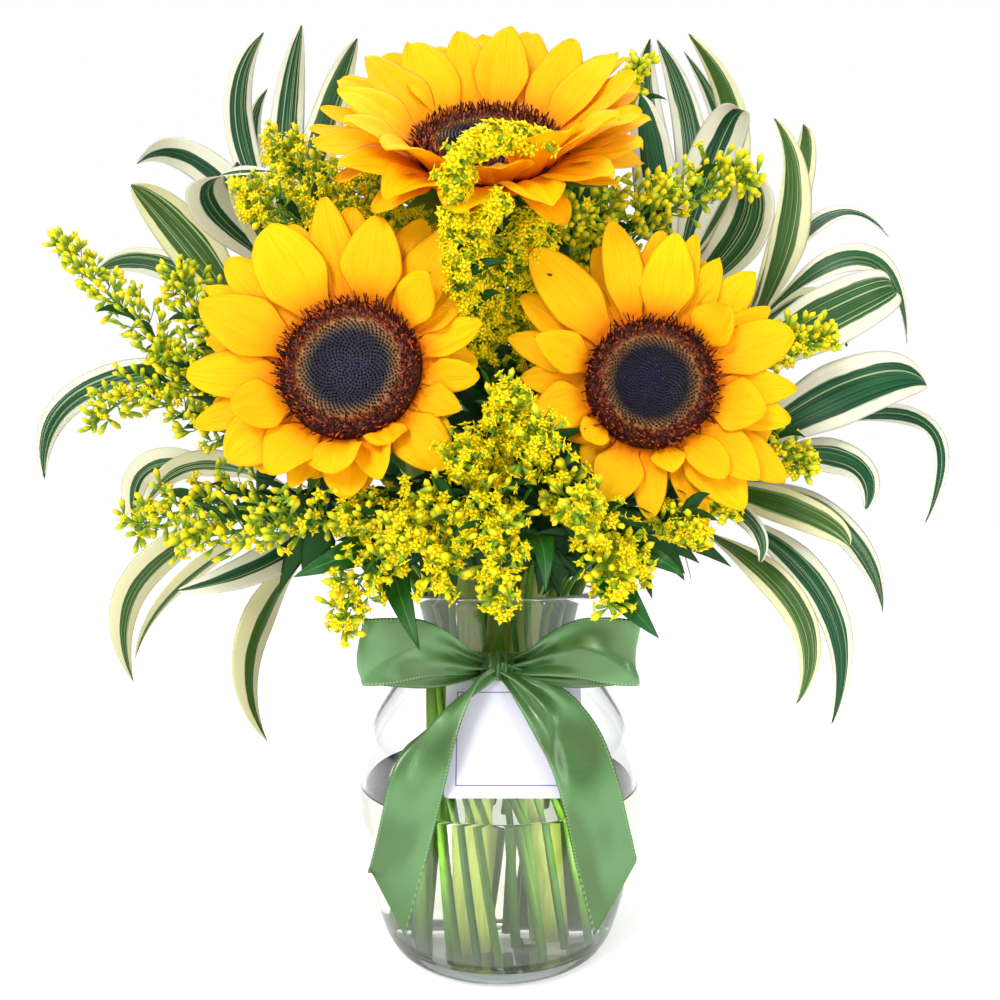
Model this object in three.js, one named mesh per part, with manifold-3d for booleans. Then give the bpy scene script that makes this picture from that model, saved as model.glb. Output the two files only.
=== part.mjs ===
// Sunflowers, goldenrod, striped dracaena and ruscus in a round glass vase with a satin bow.
// Millimetres, +Z up. The origin is the centre of the vase's foot, and the bouquet faces -Y.

import * as THREE from "three";
import { mergeVertices } from "three/addons/utils/BufferGeometryUtils.js";
import Module from "manifold-3d";

const wasm = await Module();
wasm.setup();

// Driving dimensions of the vase. The profile is its outer wall, as radius and height.
const VASE_PROFILE = [
  [46, 0], [54.5, 5], [61.5, 25], [67, 52], [68.5, 76], [65, 102], [54.5, 120], [43.8, 133], [41.2, 142],
  [44.2, 156], [51, 170],
];
const VASE_WALL = 2.6;
const VASE_FLOOR = 8;
// Inside, the wall meets the floor in a slope this high and this wide.
const VASE_HEEL = { rise: 5, width: 7 };
const VASE_SIDES = 24;
const WATER_LEVEL = 77;
const GAP = 0.35;

// Every stem stands on the vase's floor, leans round with the others and passes the neck upright.
const FOOT_Z = VASE_FLOOR + GAP;
const NECK_Z = 143;
const STEM_TWIST = THREE.MathUtils.degToRad(38);
const STEM_SPREAD = 1.22;
// How far a stem keeps its lean above the neck, as a share of the way to its top.
const STEM_REACH = 0.36;
// Stem holes in the water start this far below the stems' feet, so that they are cut right through.
const HOLE_START = 8;

// Ribbon: a band gathered round the neck, a knot, two loops and two tails. Stations along a loop or a
// tail are its middle, the direction across it and its width there.
const RIBBON_THICKNESS = 0.8;
const BAND = { from: 134.5, middle: 142, to: 145, thickness: 1.4 };
const KNOT = { centre: [-0.5, -50.9, 140.6], width: 13, depth: 14.6, height: 11.4 };
const LOOP = [
  [[7.2, -56.4, 142], [0, 0, 1], 7], [[14, -66, 145.6], [0, 0, 1], 12], [[21, -74, 149.6], [0, 0, 1], 19],
  [[31, -83, 153], [0, 0, 1], 25], [[42, -89.5, 153.8], [0, 0, 1], 26], [[50, -91.5, 153.6], [0, 0, 1], 26],
  [[54, -88, 153.4], [0, 0, 1], 26], [[51.5, -82, 153], [0, 0, 1], 26], [[42, -76.5, 152], [0, 0, 1], 25],
  [[29, -69.5, 150], [0, 0, 1], 21], [[17, -60.5, 147], [0, 0, 1], 14], [[7.2, -51, 143.4], [0, 0, 1], 7],
];
const TAILS = {
  left: [
    [[-6.5, -57.4, 135.2], [0.5, -0.2, 0.9], 8], [[-14.5, -62.2, 131], [0.55, -0.25, 0.8], 15],
    [[-23, -66.6, 123.5], [0.72, -0.2, 0.6], 21], [[-28.6, -69.6, 113.8], [0.92, -0.2, 0.3], 24.6],
    [[-32.8, -73, 98.8], [0.97, -0.1, 0.2], 25], [[-37.5, -74, 79.2], [0.96, -0.05, 0.25], 25],
    [[-41.4, -74.4, 63.6], [0.96, -0.05, 0.25], 25], [[-45.4, -74.6, 49.6], [15, -0.6, -28], 31.8],
  ],
  right: [
    [[6.6, -57.6, 135.2], [0.6, 0.2, 0.8], 8], [[15.6, -62.4, 131.6], [0.6, 0.25, 0.75], 15],
    [[24, -66.8, 124], [0.74, 0.2, 0.6], 21], [[31.4, -69.8, 113], [0.9, 0.2, 0.35], 24.6],
    [[37, -73, 94.5], [0.98, 0.1, 0.16], 25], [[41, -74, 77], [0.97, 0.05, 0.22], 25],
    [[43.8, -74.4, 64.4], [0.97, 0.05, 0.22], 25], [[47, -74.6, 50.4], [17, 0.6, 29.5], 34],
  ],
};

// Card: it leans on the shoulder of the vase under the tails, and its top edge ends below the knot.
const CARD = { width: 58, height: 48, thickness: 0.7, corner: 2, hole: 2, holeDrop: 3.6, shift: 6.2 };
const CARD_TOP = [-52.8, 134.6];
const CARD_LEAN = 22;

// A head faces "turn" degrees to the right of -Y and "lift" degrees above the horizon. Its petals are
// longer by the shares in "uneven" on its right side and at its top.
const SUNFLOWERS = {
  left: {
    centre: [-60, -75, 265], turn: -6, lift: 12, neck: [-13, -4],
    disc: 29, petal: 40, width: 23, cup: 4, uneven: [-0.11, 0],
  },
  right: {
    centre: [63, -66, 261], turn: -2, lift: 5, neck: [13, -6],
    disc: 27, petal: 36, width: 21, cup: 0, uneven: [0.03, 0.06],
  },
  top: {
    centre: [-5, -60, 361], turn: 0, lift: 40, neck: [0, 14],
    disc: 31, petal: 38, width: 23, cup: 0, uneven: [-0.03, 0.4],
  },
};
const SUNFLOWER_STEM = 6.5;
const HEAD_DEPTH = 17;
// Whorls of ray petals, from the outermost: how many, their rise in degrees, and their place on the ring.
const WHORLS = [
  { count: 12, rise: 16, from: 3.8, base: -2, turn: 0 },
  { count: 12, rise: 34, from: 2.8, base: 2, turn: 0.5 },
];
const BRACTS = 8;

// Leafy stems: the place in the neck, the top and the heading there, then the leaves from the top down.
// A leaf is: share of the stem's height, middle of its bend, tip, width and roll in degrees.
const DRACAENA_STEM = 3.6;
const DRACAENA = {
  left_high: {
    neck: [-19, 12], top: [-112, 12, 352], heading: [-0.35, 0, 1],
    leaves: [
      [1, [-137, 22, 415], [-119, 5, 451], 15, 20],
      [0.985, [-113, 26, 415], [-97, -6, 448], 17, 0],
      [0.96, [-92, 22, 412], [-69, -10, 439], 17, 0],
      [0.93, [-150, 6, 384], [-173, -18, 374], 17, 35],
      [0.9, [-137, -22, 356], [-99, -46, 358], 20, 35],
      [0.86, [-118, -14, 352], [-119, -36, 367], 16, 10],
      [0.97, [-133, 34, 404], [-125, 32, 437], 9, 0],
    ],
  },
  left_middle: {
    neck: [-27, 3], top: [-128, 8, 305], heading: [-0.8, 0, 1],
    leaves: [
      [1, [-156, -4, 345], [-171, -28, 360], 24, 10],
      [0.96, [-172, 14, 334], [-213, 22, 334], 17, 55],
      [0.86, [-214, 22, 274], [-234, 12, 225], 15, 50],
    ],
  },
  left_low: {
    neck: [-33, -3], top: [-104, 2, 218], heading: [-1, 0, 0.35],
    leaves: [
      [1, [-182, 22, 233], [-184, 12, 189], 15, 50],
      [0.97, [-150, 4, 232], [-176, -2, 211], 15, 45],
      [0.93, [-172, -6, 180], [-178, -10, 125], 17, 50],
      [0.87, [-146, -18, 178], [-170, -26, 139], 12, 40],
      [0.82, [-104, -36, 186], [-138, -58, 174], 16, 30],
      [0.74, [-111, -33, 154], [-102, -46, 106], 18, 55],
    ],
  },
  right_high: {
    neck: [19, 12], top: [98, 12, 345], heading: [0.35, 0, 1],
    leaves: [
      [1, [80, 24, 412], [76, 2, 446], 18, 0],
      [0.985, [104, 34, 410], [82, 16, 454], 17, 0],
      [0.965, [126, 28, 405], [96, 6, 451], 16, 0],
      [0.94, [128, 46, 400], [101, 38, 461], 13, 0],
      [0.92, [107, -8, 385], [114, -28, 394], 24, 0],
      [0.89, [76, -6, 378], [67, -20, 406], 20, 0],
      [0.85, [117, -22, 346], [94, -46, 366], 23, 0],
    ],
  },
  right_middle: {
    neck: [27, 3], top: [128, 8, 300], heading: [0.8, 0, 1],
    leaves: [
      [1, [143, -8, 356], [131, -18, 396], 23, 0],
      [0.975, [157, 22, 376], [159, 18, 411], 14, 0],
      [0.95, [164, 12, 356], [196, 2, 346], 15, 55],
      [0.91, [172, -10, 331], [201, -6, 290], 17, 50],
      [0.88, [170, 34, 322], [194, 46, 300], 16, 30],
      [0.84, [164, -24, 304], [194, -6, 317], 27, 0],
    ],
  },
  right_low: {
    neck: [33, -4], top: [118, 4, 236], heading: [1, 0, 0.5],
    leaves: [
      [1, [172, -18, 268], [214, 0, 271], 29, 0],
      [0.97, [212, 12, 256], [214, 2, 202], 17, 60],
      [0.93, [163, -14, 233], [173, -22, 209], 22, 60],
      [0.88, [162, -6, 204], [189, -6, 158], 20, 45],
      [0.82, [138, -30, 208], [160, -34, 192], 16, 30],
      [0.74, [145, -30, 175], [151, -36, 111], 17, 55],
      [0.64, [125, -47, 172], [126, -60, 126], 15, 55],
      [0.79, [107, -52, 205], [111, -58, 186], 9, 10],
    ],
  },
  back_left: {
    neck: [-8, 29], top: [-46, 62, 322], heading: [-0.3, 0.4, 1],
    leaves: [
      [1, [-48, 84, 388], [-30, 88, 428], 19, 0],
      [0.97, [-84, 78, 372], [-112, 84, 392], 18, 30],
      [0.93, [-84, 96, 318], [-128, 112, 296], 18, 40],
      [0.88, [-52, 118, 300], [-66, 146, 262], 18, 20],
      [0.8, [-22, 108, 290], [-18, 132, 240], 17, 0],
      [0.74, [-88, 84, 234], [-118, 98, 176], 16, 45],
    ],
  },
  back_right: {
    neck: [10, 29], top: [52, 64, 308], heading: [0.3, 0.4, 1],
    leaves: [
      [1, [50, 90, 372], [34, 92, 416], 19, 0],
      [0.97, [92, 84, 352], [120, 90, 372], 18, 30],
      [0.93, [96, 98, 300], [138, 110, 272], 18, 40],
      [0.88, [56, 122, 284], [72, 146, 244], 18, 20],
      [0.8, [26, 104, 262], [28, 130, 206], 17, 0],
      [0.72, [92, 84, 222], [120, 96, 164], 16, 45],
    ],
  },
};

// Goldenrod: the place in the neck, the fork, then plumes as middle of the bend, tip and radius.
const GOLDENROD_STEM = 1.8;
const GOLDENROD = [
  {
    neck: [-27, -10], fork: [-112, -18, 246],
    plumes: [
      [[-172, -8, 296], [-216, -4, 340], 9],
      [[-150, -26, 268], [-192, -22, 248], 9],
      [[-136, -24, 290], [-150, -26, 318], 10],
    ],
  },
  {
    neck: [-30, -17], fork: [-84, -42, 204],
    plumes: [
      [[-126, -44, 210], [-168, -30, 200], 10],
      [[-108, -62, 200], [-130, -70, 196], 9],
      [[-76, -74, 206], [-98, -88, 198], 9],
    ],
  },
  {
    neck: [-11, 7], fork: [-58, -16, 316],
    plumes: [
      [[-84, -30, 354], [-101, -30, 374], 8],
      [[-84, -46, 334], [-108, -56, 340], 9],
      [[-40, -34, 330], [-50, -50, 336], 7],
    ],
  },
  {
    neck: [0, -8], fork: [-2, -44, 258],
    plumes: [
      [[-1.5, -120, 306], [6, -110, 346], 8],
      [[-16, -50, 292], [-24, -62, 318], 8],
      [[12, -54, 292], [18, -70, 318], 8],
    ],
  },
  {
    neck: [1, -20], fork: [2, -58, 222],
    plumes: [
      [[9, -90, 228], [15, -110, 234], 8],
      [[-8, -86, 225], [-14, -104, 226], 8],
      [[3, -88, 236], [5, -110, 248], 7],
    ],
  },
  {
    neck: [-20, -26], fork: [-30, -60, 204],
    plumes: [
      [[-46, -90, 192], [-60, -98, 164], 9],
      [[-28, -92, 206], [-38, -108, 194], 9],
      [[-52, -78, 204], [-64, -90, 198], 8],
    ],
  },
  {
    neck: [-6, -31], fork: [-6, -66, 204],
    plumes: [
      [[-1, -100, 200], [0, -106, 170], 9],
      [[-16, -100, 202], [-22, -106, 176], 8],
      [[-4, -92, 207], [-9, -108, 201], 8],
    ],
  },
  {
    neck: [14, -28], fork: [26, -62, 204],
    plumes: [
      [[37, -92, 200], [42, -102, 172], 9],
      [[52, -84, 190.5], [64, -94, 169], 9],
      [[25, -90, 212], [31, -110, 204], 9],
    ],
  },
  {
    neck: [9, 8], fork: [44, -10, 316],
    plumes: [
      [[80, -46, 344], [110, -52, 352], 8],
      [[60, -40, 336], [72, -54, 346], 9],
      [[36, -40, 326], [30, -58, 336], 8],
    ],
  },
  {
    neck: [27, -11], fork: [100, -24, 256],
    plumes: [
      [[124, -34, 278], [147, -42, 286], 9],
      [[118, -36, 240], [138, -44, 226], 9],
    ],
  },
  {
    neck: [21, -26], fork: [60, -50, 204],
    plumes: [
      [[84, -66, 208], [104, -74, 200], 9],
      [[80, -76, 196], [88, -88, 188], 8],
    ],
  },
  {
    neck: [11, 19], fork: [36, 8, 372],
    plumes: [
      [[58, -4, 404], [68, -18, 422], 8],
      [[44, 16, 398], [38, 26, 420], 8],
    ],
  },
  {
    neck: [-20, 22], fork: [-60, 34, 270],
    plumes: [
      [[-70, 46, 312], [-78, 54, 342], 10],
      [[-86, 52, 274], [-110, 58, 268], 10],
      [[-58, 62, 286], [-64, 84, 290], 9],
    ],
  },
  {
    neck: [22, 21], fork: [62, 34, 262],
    plumes: [
      [[74, 46, 304], [82, 54, 332], 10],
      [[88, 52, 262], [112, 58, 252], 10],
      [[60, 62, 276], [66, 84, 280], 9],
    ],
  },
];

// Ruscus: the place in the neck, the top, then leaves as share of height, middle, tip and width.
const RUSCUS_STEM = 1.6;
const RUSCUS = {
  left: {
    neck: [-24, -20], top: [-50, -62, 194],
    leaves: [[1, [-62, -76, 192], [-77, -82, 184], 13], [0.86, [-40, -82, 180], [-29, -98, 156], 15]],
  },
  right: {
    neck: [27, -19], top: [50, -62, 190],
    leaves: [[1, [62, -72, 188], [74, -74, 180], 12], [0.86, [56, -80, 180], [62, -90, 160], 15]],
  },
  centre: {
    neck: [8, -22], top: [12, -74, 196],
    leaves: [[1, [16, -90, 196], [19, -98, 178], 12], [0.8, [8, -80, 206], [5, -86, 222], 11]],
  },
};

const MATERIALS = {
  glass: { color: 0xdfe9e6, roughness: 0.05, metalness: 0, transparent: true, opacity: 0.35 },
  water: { color: 0xdde8d8, roughness: 0.02, metalness: 0, transparent: true, opacity: 0.4 },
  petal: { color: 0xffc400, roughness: 0.55, metalness: 0 },
  disc: { color: 0x2c1620, roughness: 0.85, metalness: 0 },
  stem: { color: 0x7da02c, roughness: 0.6, metalness: 0 },
  striped_leaf: { color: 0x2f6b46, roughness: 0.45, metalness: 0 },
  goldenrod: { color: 0xd9c400, roughness: 0.7, metalness: 0 },
  ruscus: { color: 0x0f5a1c, roughness: 0.35, metalness: 0 },
  satin: { color: 0x5f9a63, roughness: 0.35, metalness: 0 },
  card: { color: 0xf1f0fa, roughness: 0.75, metalness: 0 },
};
const materials = Object.fromEntries(
  Object.entries(MATERIALS).map(([name, look]) => [name, new THREE.MeshStandardMaterial(look)]),
);

const bouquet = new THREE.Group();

const vec = ([x, y, z]) => new THREE.Vector3(x, y, z);
const radians = THREE.MathUtils.degToRad;
const smooth = (from, to, t) => THREE.MathUtils.smoothstep(t, from, to);

// A seeded draw between -1 and 1, so that petals and florets differ but every run is the same.
function drawsFrom(seed) {
  let state = seed;
  return () => {
    state = (state * 16807) % 2147483647;
    return (state / 2147483647) * 2 - 1;
  };
}

// A closed geometry as a solid that can be joined and cut.
function solid(geometry) {
  const bare = geometry.clone();
  bare.deleteAttribute("normal");
  bare.deleteAttribute("uv");
  const merged = mergeVertices(bare, 1e-3);
  return new wasm.Manifold(
    new wasm.Mesh({
      numProp: 3,
      vertProperties: merged.attributes.position.array,
      triVerts: new Uint32Array(merged.index.array),
    }),
  );
}

// A solid as a mesh of the bouquet, or of a group in it.
function addNode(name, material, body, parent = bouquet) {
  const { vertProperties, triVerts } = body.getMesh();
  const geometry = new THREE.BufferGeometry();
  geometry.setAttribute("position", new THREE.BufferAttribute(new Float32Array(vertProperties), 3));
  geometry.setIndex(new THREE.BufferAttribute(new Uint32Array(triVerts), 1));
  geometry.computeVertexNormals();
  const mesh = new THREE.Mesh(geometry, materials[material]);
  mesh.name = name;
  parent.add(mesh);
  return mesh;
}

const join = (bodies) => bodies.reduce((whole, body) => whole.add(body));

// Closed surface through rings of equally many points; the last ring may be one point. "flip" turns
// the diagonal of a cell, and faces that point inwards are turned round.
function loft(rings, flip = () => false) {
  const sides = rings[0].length;
  const pointed = rings.at(-1).length === 1;
  const full = pointed ? rings.length - 1 : rings.length;
  const index = [];
  for (let i = 0; i < full - 1; i += 1) {
    for (let j = 0; j < sides; j += 1) {
      const a = i * sides + j;
      const b = i * sides + ((j + 1) % sides);
      const c = a + sides;
      const d = b + sides;
      index.push(...(flip(i, j) ? [a, b, c, b, d, c] : [a, b, d, a, d, c]));
    }
  }
  const end = (full - 1) * sides;
  for (let j = 1; j < sides - 1; j += 1) {
    index.push(0, j + 1, j);
    if (!pointed) index.push(end, end + j, end + j + 1);
  }
  if (pointed) for (let j = 0; j < sides; j += 1) index.push(end + j, end + ((j + 1) % sides), end + sides);
  const points = rings.flat();
  let volume = 0;
  for (let k = 0; k < index.length; k += 3) {
    const [p, q, r] = index.slice(k, k + 3).map((n) => points[n]);
    volume += p.dot(q.clone().cross(r));
  }
  if (volume < 0) index.reverse();
  const geometry = new THREE.BufferGeometry().setFromPoints(points);
  geometry.setIndex(index);
  return geometry;
}

// A bend that starts at root, passes crown half way and ends at tip.
function bend(root, crown, tip) {
  const pull = crown.clone().multiplyScalar(2).addScaledVector(root, -0.5).addScaledVector(tip, -0.5);
  return new THREE.QuadraticBezierCurve3(root, pull, tip);
}

// Half widths of blades along their length, as shares of the full width.
const OUTLINES = {
  strap: (s) => (0.34 + 0.66 * smooth(0, 0.42, s)) * (1 - s ** 3.2) ** 0.85,
  petal: (s) => (0.34 + 0.66 * smooth(0, 0.5, s)) * (1 - s ** 4) ** 0.7,
  bract: (s) => (0.8 + 0.2 * smooth(0, 0.3, s)) * (1 - s ** 1.6),
  lens: (s) => (0.2 + 0.8 * smooth(0, 0.42, s)) * (1 - s ** 2.4),
};
const STATIONS = {
  strap: [0, 0.22, 0.46, 0.7, 0.91],
  petal: [0, 0.36, 0.8],
  bract: [0, 0.55],
  lens: [0, 0.3, 0.65],
};

// Thin solid blade along a bend: folded along its midrib, sharp at its edges and pointed at its tip.
// "side" runs across the blade, and the fold opens towards side x heading.
function blade({ curve, side, width, outline, fold = 15, roll = 0, thickness = 1.2 }) {
  const rings = STATIONS[outline].map((s) => {
    const centre = curve.getPoint(s);
    const heading = curve.getTangent(s);
    const across = side.clone().addScaledVector(heading, -side.dot(heading)).normalize();
    across.applyAxisAngle(heading, radians(roll) * smooth(0, 0.5, s));
    const up = across.clone().cross(heading).normalize();
    const half = (width / 2) * OUTLINES[outline](s);
    const flat = half * Math.cos(radians(fold));
    const raised = half * Math.sin(radians(fold));
    const deep = (thickness / 2) * (1 - 0.35 * s);
    const at = (a, u) => centre.clone().addScaledVector(across, a).addScaledVector(up, u);
    return [at(0, deep), at(flat, raised), at(0, -deep), at(-flat, raised)];
  });
  rings.push([curve.getPoint(1)]);
  return solid(loft(rings, (i, j) => j % 2 === 1));
}

// The direction across a leaf that bends from root over crown to tip, upper face outwards.
function acrossLeaf(root, crown, tip) {
  return tip.clone().sub(root).cross(crown.clone().sub(root)).normalize();
}

// Round tube through stations, with its frame carried along without twist and its foot cut level.
function tube(stations, radius, sides, endRadius = radius) {
  let across = null;
  const rings = stations.map((centre, i) => {
    const before = stations[Math.max(i - 1, 0)];
    const after = stations[Math.min(i + 1, stations.length - 1)];
    const heading = after.clone().sub(before).normalize();
    across ??= new THREE.Vector3(1, 0, 0);
    across = across.clone().addScaledVector(heading, -across.dot(heading)).normalize();
    const up = heading.clone().cross(across);
    const r = THREE.MathUtils.lerp(radius, endRadius, i / (stations.length - 1));
    return Array.from({ length: sides }, (_, j) => {
      const angle = (2 * Math.PI * j) / sides;
      const point = centre.clone().addScaledVector(across, r * Math.cos(angle));
      point.addScaledVector(up, r * Math.sin(angle));
      return i > 0 ? point : point.addScaledVector(heading, (centre.z - point.z) / heading.z);
    });
  });
  return solid(loft(rings));
}

// Where a stem that passes the neck at (x, y) stands on the floor.
function footOf([x, y]) {
  const foot = new THREE.Vector2(x, y).rotateAround(new THREE.Vector2(), STEM_TWIST);
  return new THREE.Vector3(foot.x * STEM_SPREAD, foot.y * STEM_SPREAD, FOOT_Z);
}

// The part of a stem above the neck: it leaves along its lean and arrives along "heading".
function riseOf(neck, top, heading) {
  const start = new THREE.Vector3(neck[0], neck[1], NECK_Z);
  const lean = start.clone().sub(footOf(neck)).normalize();
  const reach = start.distanceTo(top) * STEM_REACH;
  return new THREE.CubicBezierCurve3(
    start,
    start.clone().addScaledVector(lean, reach),
    top.clone().addScaledVector(heading.clone().normalize(), -reach),
    top,
  );
}

const stemHoles = [];

// One stem from the floor through the neck to its top; the water gets a hole for it.
function stem({ neck, top, heading, radius, sides, steps, endRadius }) {
  const foot = footOf(neck);
  const rise = riseOf(neck, top, heading);
  const start = rise.getPoint(0);
  const lean = start.clone().sub(foot).normalize();
  const overshoot = 1 / Math.cos(Math.PI / sides);
  const below = foot.clone().addScaledVector(lean, -HOLE_START);
  stemHoles.push(tube([below, start], (radius + GAP) * overshoot, sides));
  return { rise, body: tube([foot, ...rise.getPoints(steps)], radius, sides, endRadius) };
}

// Vase: a wall of even thickness on a thick flat foot.
function addVase() {
  const outside = VASE_PROFILE.map(([r, z]) => new THREE.Vector2(r, z));
  const inside = outside.map((point, i) => {
    const before = outside[Math.max(i - 1, 0)];
    const along = (outside[i + 1] ?? point).clone().sub(before).normalize();
    return new THREE.Vector2(point.x - along.y * VASE_WALL, point.y + along.x * VASE_WALL);
  });
  const wall = inside.filter((point) => point.y > VASE_FLOOR + VASE_HEEL.rise);
  const heel = new THREE.Vector2(wall[0].x - VASE_HEEL.width, VASE_FLOOR);
  const floor = [heel, new THREE.Vector2(0, VASE_FLOOR)];
  const profile = [new THREE.Vector2(0, 0), ...outside, ...wall.toReversed(), ...floor];
  addNode("vase", "glass", solid(latheUpright(profile)));
  return wall;
}

// LatheGeometry turns about Y, so the profile is turned upright about Z.
function latheUpright(profile, sides = VASE_SIDES) {
  return new THREE.LatheGeometry(profile, sides).rotateX(Math.PI / 2);
}

// Water: fills the vase to its level, a gap inside the glass, with a plain hole for each stem.
function addWater(wall) {
  const above = wall.find((point) => point.y > WATER_LEVEL);
  const sunk = wall.slice(0, wall.indexOf(above));
  const below = sunk.at(-1);
  const share = (WATER_LEVEL - below.y) / (above.y - below.y);
  const brim = THREE.MathUtils.lerp(below.x, above.x, share);
  const inset = (point) => new THREE.Vector2(point.x - GAP, point.y);
  const profile = [
    new THREE.Vector2(0, FOOT_Z),
    new THREE.Vector2(sunk[0].x - VASE_HEEL.width - GAP, FOOT_Z),
    ...sunk.map(inset),
    new THREE.Vector2(brim - GAP, WATER_LEVEL),
    new THREE.Vector2(0, WATER_LEVEL),
  ];
  const filled = solid(latheUpright(profile));
  addNode("water", "water", stemHoles.reduce((water, hole) => water.subtract(hole), filled));
}

// The group of a head: its z axis is the way it faces, its x axis lies level.
function headGroup({ centre, turn, lift }) {
  const head = new THREE.Group();
  head.position.copy(vec(centre));
  head.rotation.set(radians(90 - lift), 0, radians(turn), "ZYX");
  head.updateMatrix();
  bouquet.add(head);
  return head;
}

const around = (angle) => new THREE.Vector3(Math.cos(angle), Math.sin(angle), 0);

// A blade that grows out of a head at "angle", rising "rise" degrees above the head's own plane.
function rayBlade({ angle, from, base, rise, length, width, outline, lifted, thickness, fold }) {
  const out = around(angle);
  const root = out.clone().multiplyScalar(from).setZ(base);
  const way = out.clone().multiplyScalar(Math.cos(radians(rise))).setZ(Math.sin(radians(rise)));
  const tip = root.clone().addScaledVector(way, length);
  const crown = root.clone().lerp(tip, 0.5);
  crown.z += lifted * length;
  const side = new THREE.Vector3(out.y, -out.x, 0);
  return blade({ curve: bend(root, crown, tip), side, width, outline, thickness, fold });
}

// The yellow ring of one bloom with its whorls of petals.
function petals({ disc, petal, width, cup, uneven }, draw) {
  const ringProfile = [[disc + 1.6, -3], [disc + 6, -2.5], [disc + 4.6, 3], [disc + 1.6, 3.4]];
  const corners = [...ringProfile, ringProfile[0]].map(([r, z]) => new THREE.Vector2(r, z));
  const ring = solid(latheUpright(corners, 12));
  const blades = WHORLS.flatMap(({ count, rise, from, base, turn }) =>
    Array.from({ length: count }, (_, k) => {
      const angle = (2 * Math.PI * (k + turn + 0.1 * draw())) / count;
      const longer = uneven[0] * Math.cos(angle) + uneven[1] * Math.max(0, Math.sin(angle));
      return rayBlade({
        angle,
        from: disc + from,
        base,
        rise: rise + cup + 4 * draw(),
        length: petal * (1 + 0.07 * draw() + longer),
        width: width * (1 + 0.08 * draw()),
        outline: "petal",
        lifted: 0.06 + 0.04 * draw(),
        thickness: 1.2,
        fold: 10,
      });
    }),
  );
  return join([ring, ...blades]);
}

// The dark disc: a low dome with a raised rim, its florets as knobs in rings that stand half a step apart.
function discFlorets({ disc }) {
  const sides = 20;
  const rows = [[1, -2.6], [1, 2.2], [0.9, 6], [0.72, 4.2], [0.52, 4.4], [0.3, 3.6]];
  const knob = 1.4;
  const rings = rows.map(([share, height], i) =>
    Array.from({ length: sides }, (_, j) => {
      const raised = i > 1 && (i + j) % 2 ? knob : 0;
      const spread = i === 1 && j % 2 ? 0.95 : 1;
      return around((2 * Math.PI * j) / sides).multiplyScalar(disc * share * spread).setZ(height + raised);
    }),
  );
  rings.push([new THREE.Vector3(0, 0, 3.6)]);
  return solid(loft(rings, (i, j) => (i + j) % 2 === 0));
}

// The green back of a head with its pointed bracts.
function greenBack({ disc }, draw) {
  const outline = [[0, -19], [6, -19], [disc * 0.7, -10], [disc + 3, -3 - GAP], [0, -3 - GAP]];
  const cup = solid(latheUpright(outline.map(([r, z]) => new THREE.Vector2(r, z)), 12));
  const bracts = Array.from({ length: BRACTS }, (_, k) =>
    rayBlade({
      angle: (2 * Math.PI * (k + 0.2 * draw())) / BRACTS,
      from: disc - 2,
      base: -5.2,
      rise: -6 + 5 * draw(),
      length: 26 + 4 * draw(),
      width: 13,
      outline: "bract",
      lifted: 0.02,
      thickness: 1.4,
      fold: 10,
    }),
  );
  return join([cup, ...bracts]);
}

// Sunflower: petals and disc in the head's own group, and a stem with the green back of the head.
function addSunflower(name, flower, seed) {
  const draw = drawsFrom(seed);
  const head = headGroup(flower);
  const facing = new THREE.Vector3().setFromMatrixColumn(head.matrix, 2);
  const top = vec(flower.centre).addScaledVector(facing, -HEAD_DEPTH);
  const { body } = stem({
    neck: flower.neck, top, heading: facing, radius: SUNFLOWER_STEM, sides: 8, steps: 5,
  });
  addNode(`sunflower_${name}_petals`, "petal", petals(flower, draw), head);
  addNode(`sunflower_${name}_disc`, "disc", discFlorets(flower), head);
  const back = greenBack(flower, draw).transform(head.matrix.toArray());
  addNode(`sunflower_${name}_stem`, "stem", body.add(back));
}

// Dracaena: a stem with long folded leaves that arch over.
function addDracaena(name, { neck, top, heading, leaves }) {
  const { rise, body } = stem({
    neck, top: vec(top), heading: vec(heading), radius: DRACAENA_STEM, sides: 6, steps: 5, endRadius: 2.4,
  });
  const blades = leaves.map(([height, crown, tip, width, roll]) => {
    const root = rise.getPoint(height * 0.985);
    const side = acrossLeaf(root, vec(crown), vec(tip));
    return blade({ curve: bend(root, vec(crown), vec(tip)), side, width, outline: "strap", roll });
  });
  addNode(`dracaena_${name}`, "striped_leaf", join([body, ...blades]));
}

// A plume of florets along a bend: a bare stalk, then knobs that alternate all round and shrink to the tip.
function plume(curve, radius) {
  const sides = 5;
  const stalk = 1.1;
  const shares = [0, 0.3, 0.39, 0.5, 0.61, 0.72, 0.83, 0.93];
  let across = new THREE.Vector3(0.3, 0.2, 1);
  const rings = shares.map((s, i) => {
    const heading = curve.getTangent(s);
    across = across.clone().addScaledVector(heading, -across.dot(heading)).normalize();
    const up = heading.clone().cross(across);
    const reach = radius * (1 - 0.62 * smooth(0.5, 1.15, s)) * smooth(0.26, 0.44, s);
    return Array.from({ length: sides }, (_, j) => {
      const angle = (2 * Math.PI * (j + 0.5 * (i % 2))) / sides;
      const r = stalk + ((i + j) % 2 ? reach : 0.3 * reach);
      const centre = curve.getPoint(s);
      return centre.addScaledVector(across, r * Math.cos(angle)).addScaledVector(up, r * Math.sin(angle));
    });
  });
  rings.push([curve.getPoint(1)]);
  return solid(loft(rings, (i, j) => (i + j) % 2 === 0));
}

// Goldenrod: a thin stem with a fork that carries its plumes.
function addGoldenrod(number, { neck, fork, plumes }) {
  const top = vec(fork);
  const heading = vec(plumes[0][0]).sub(top);
  const { body } = stem({ neck, top, heading, radius: GOLDENROD_STEM, sides: 5, steps: 4, endRadius: 1.4 });
  const heads = plumes.map(([crown, tip, radius]) => plume(bend(top, vec(crown), vec(tip)), radius));
  addNode(`goldenrod_${number}`, "goldenrod", join([body, ...heads]));
}

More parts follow.
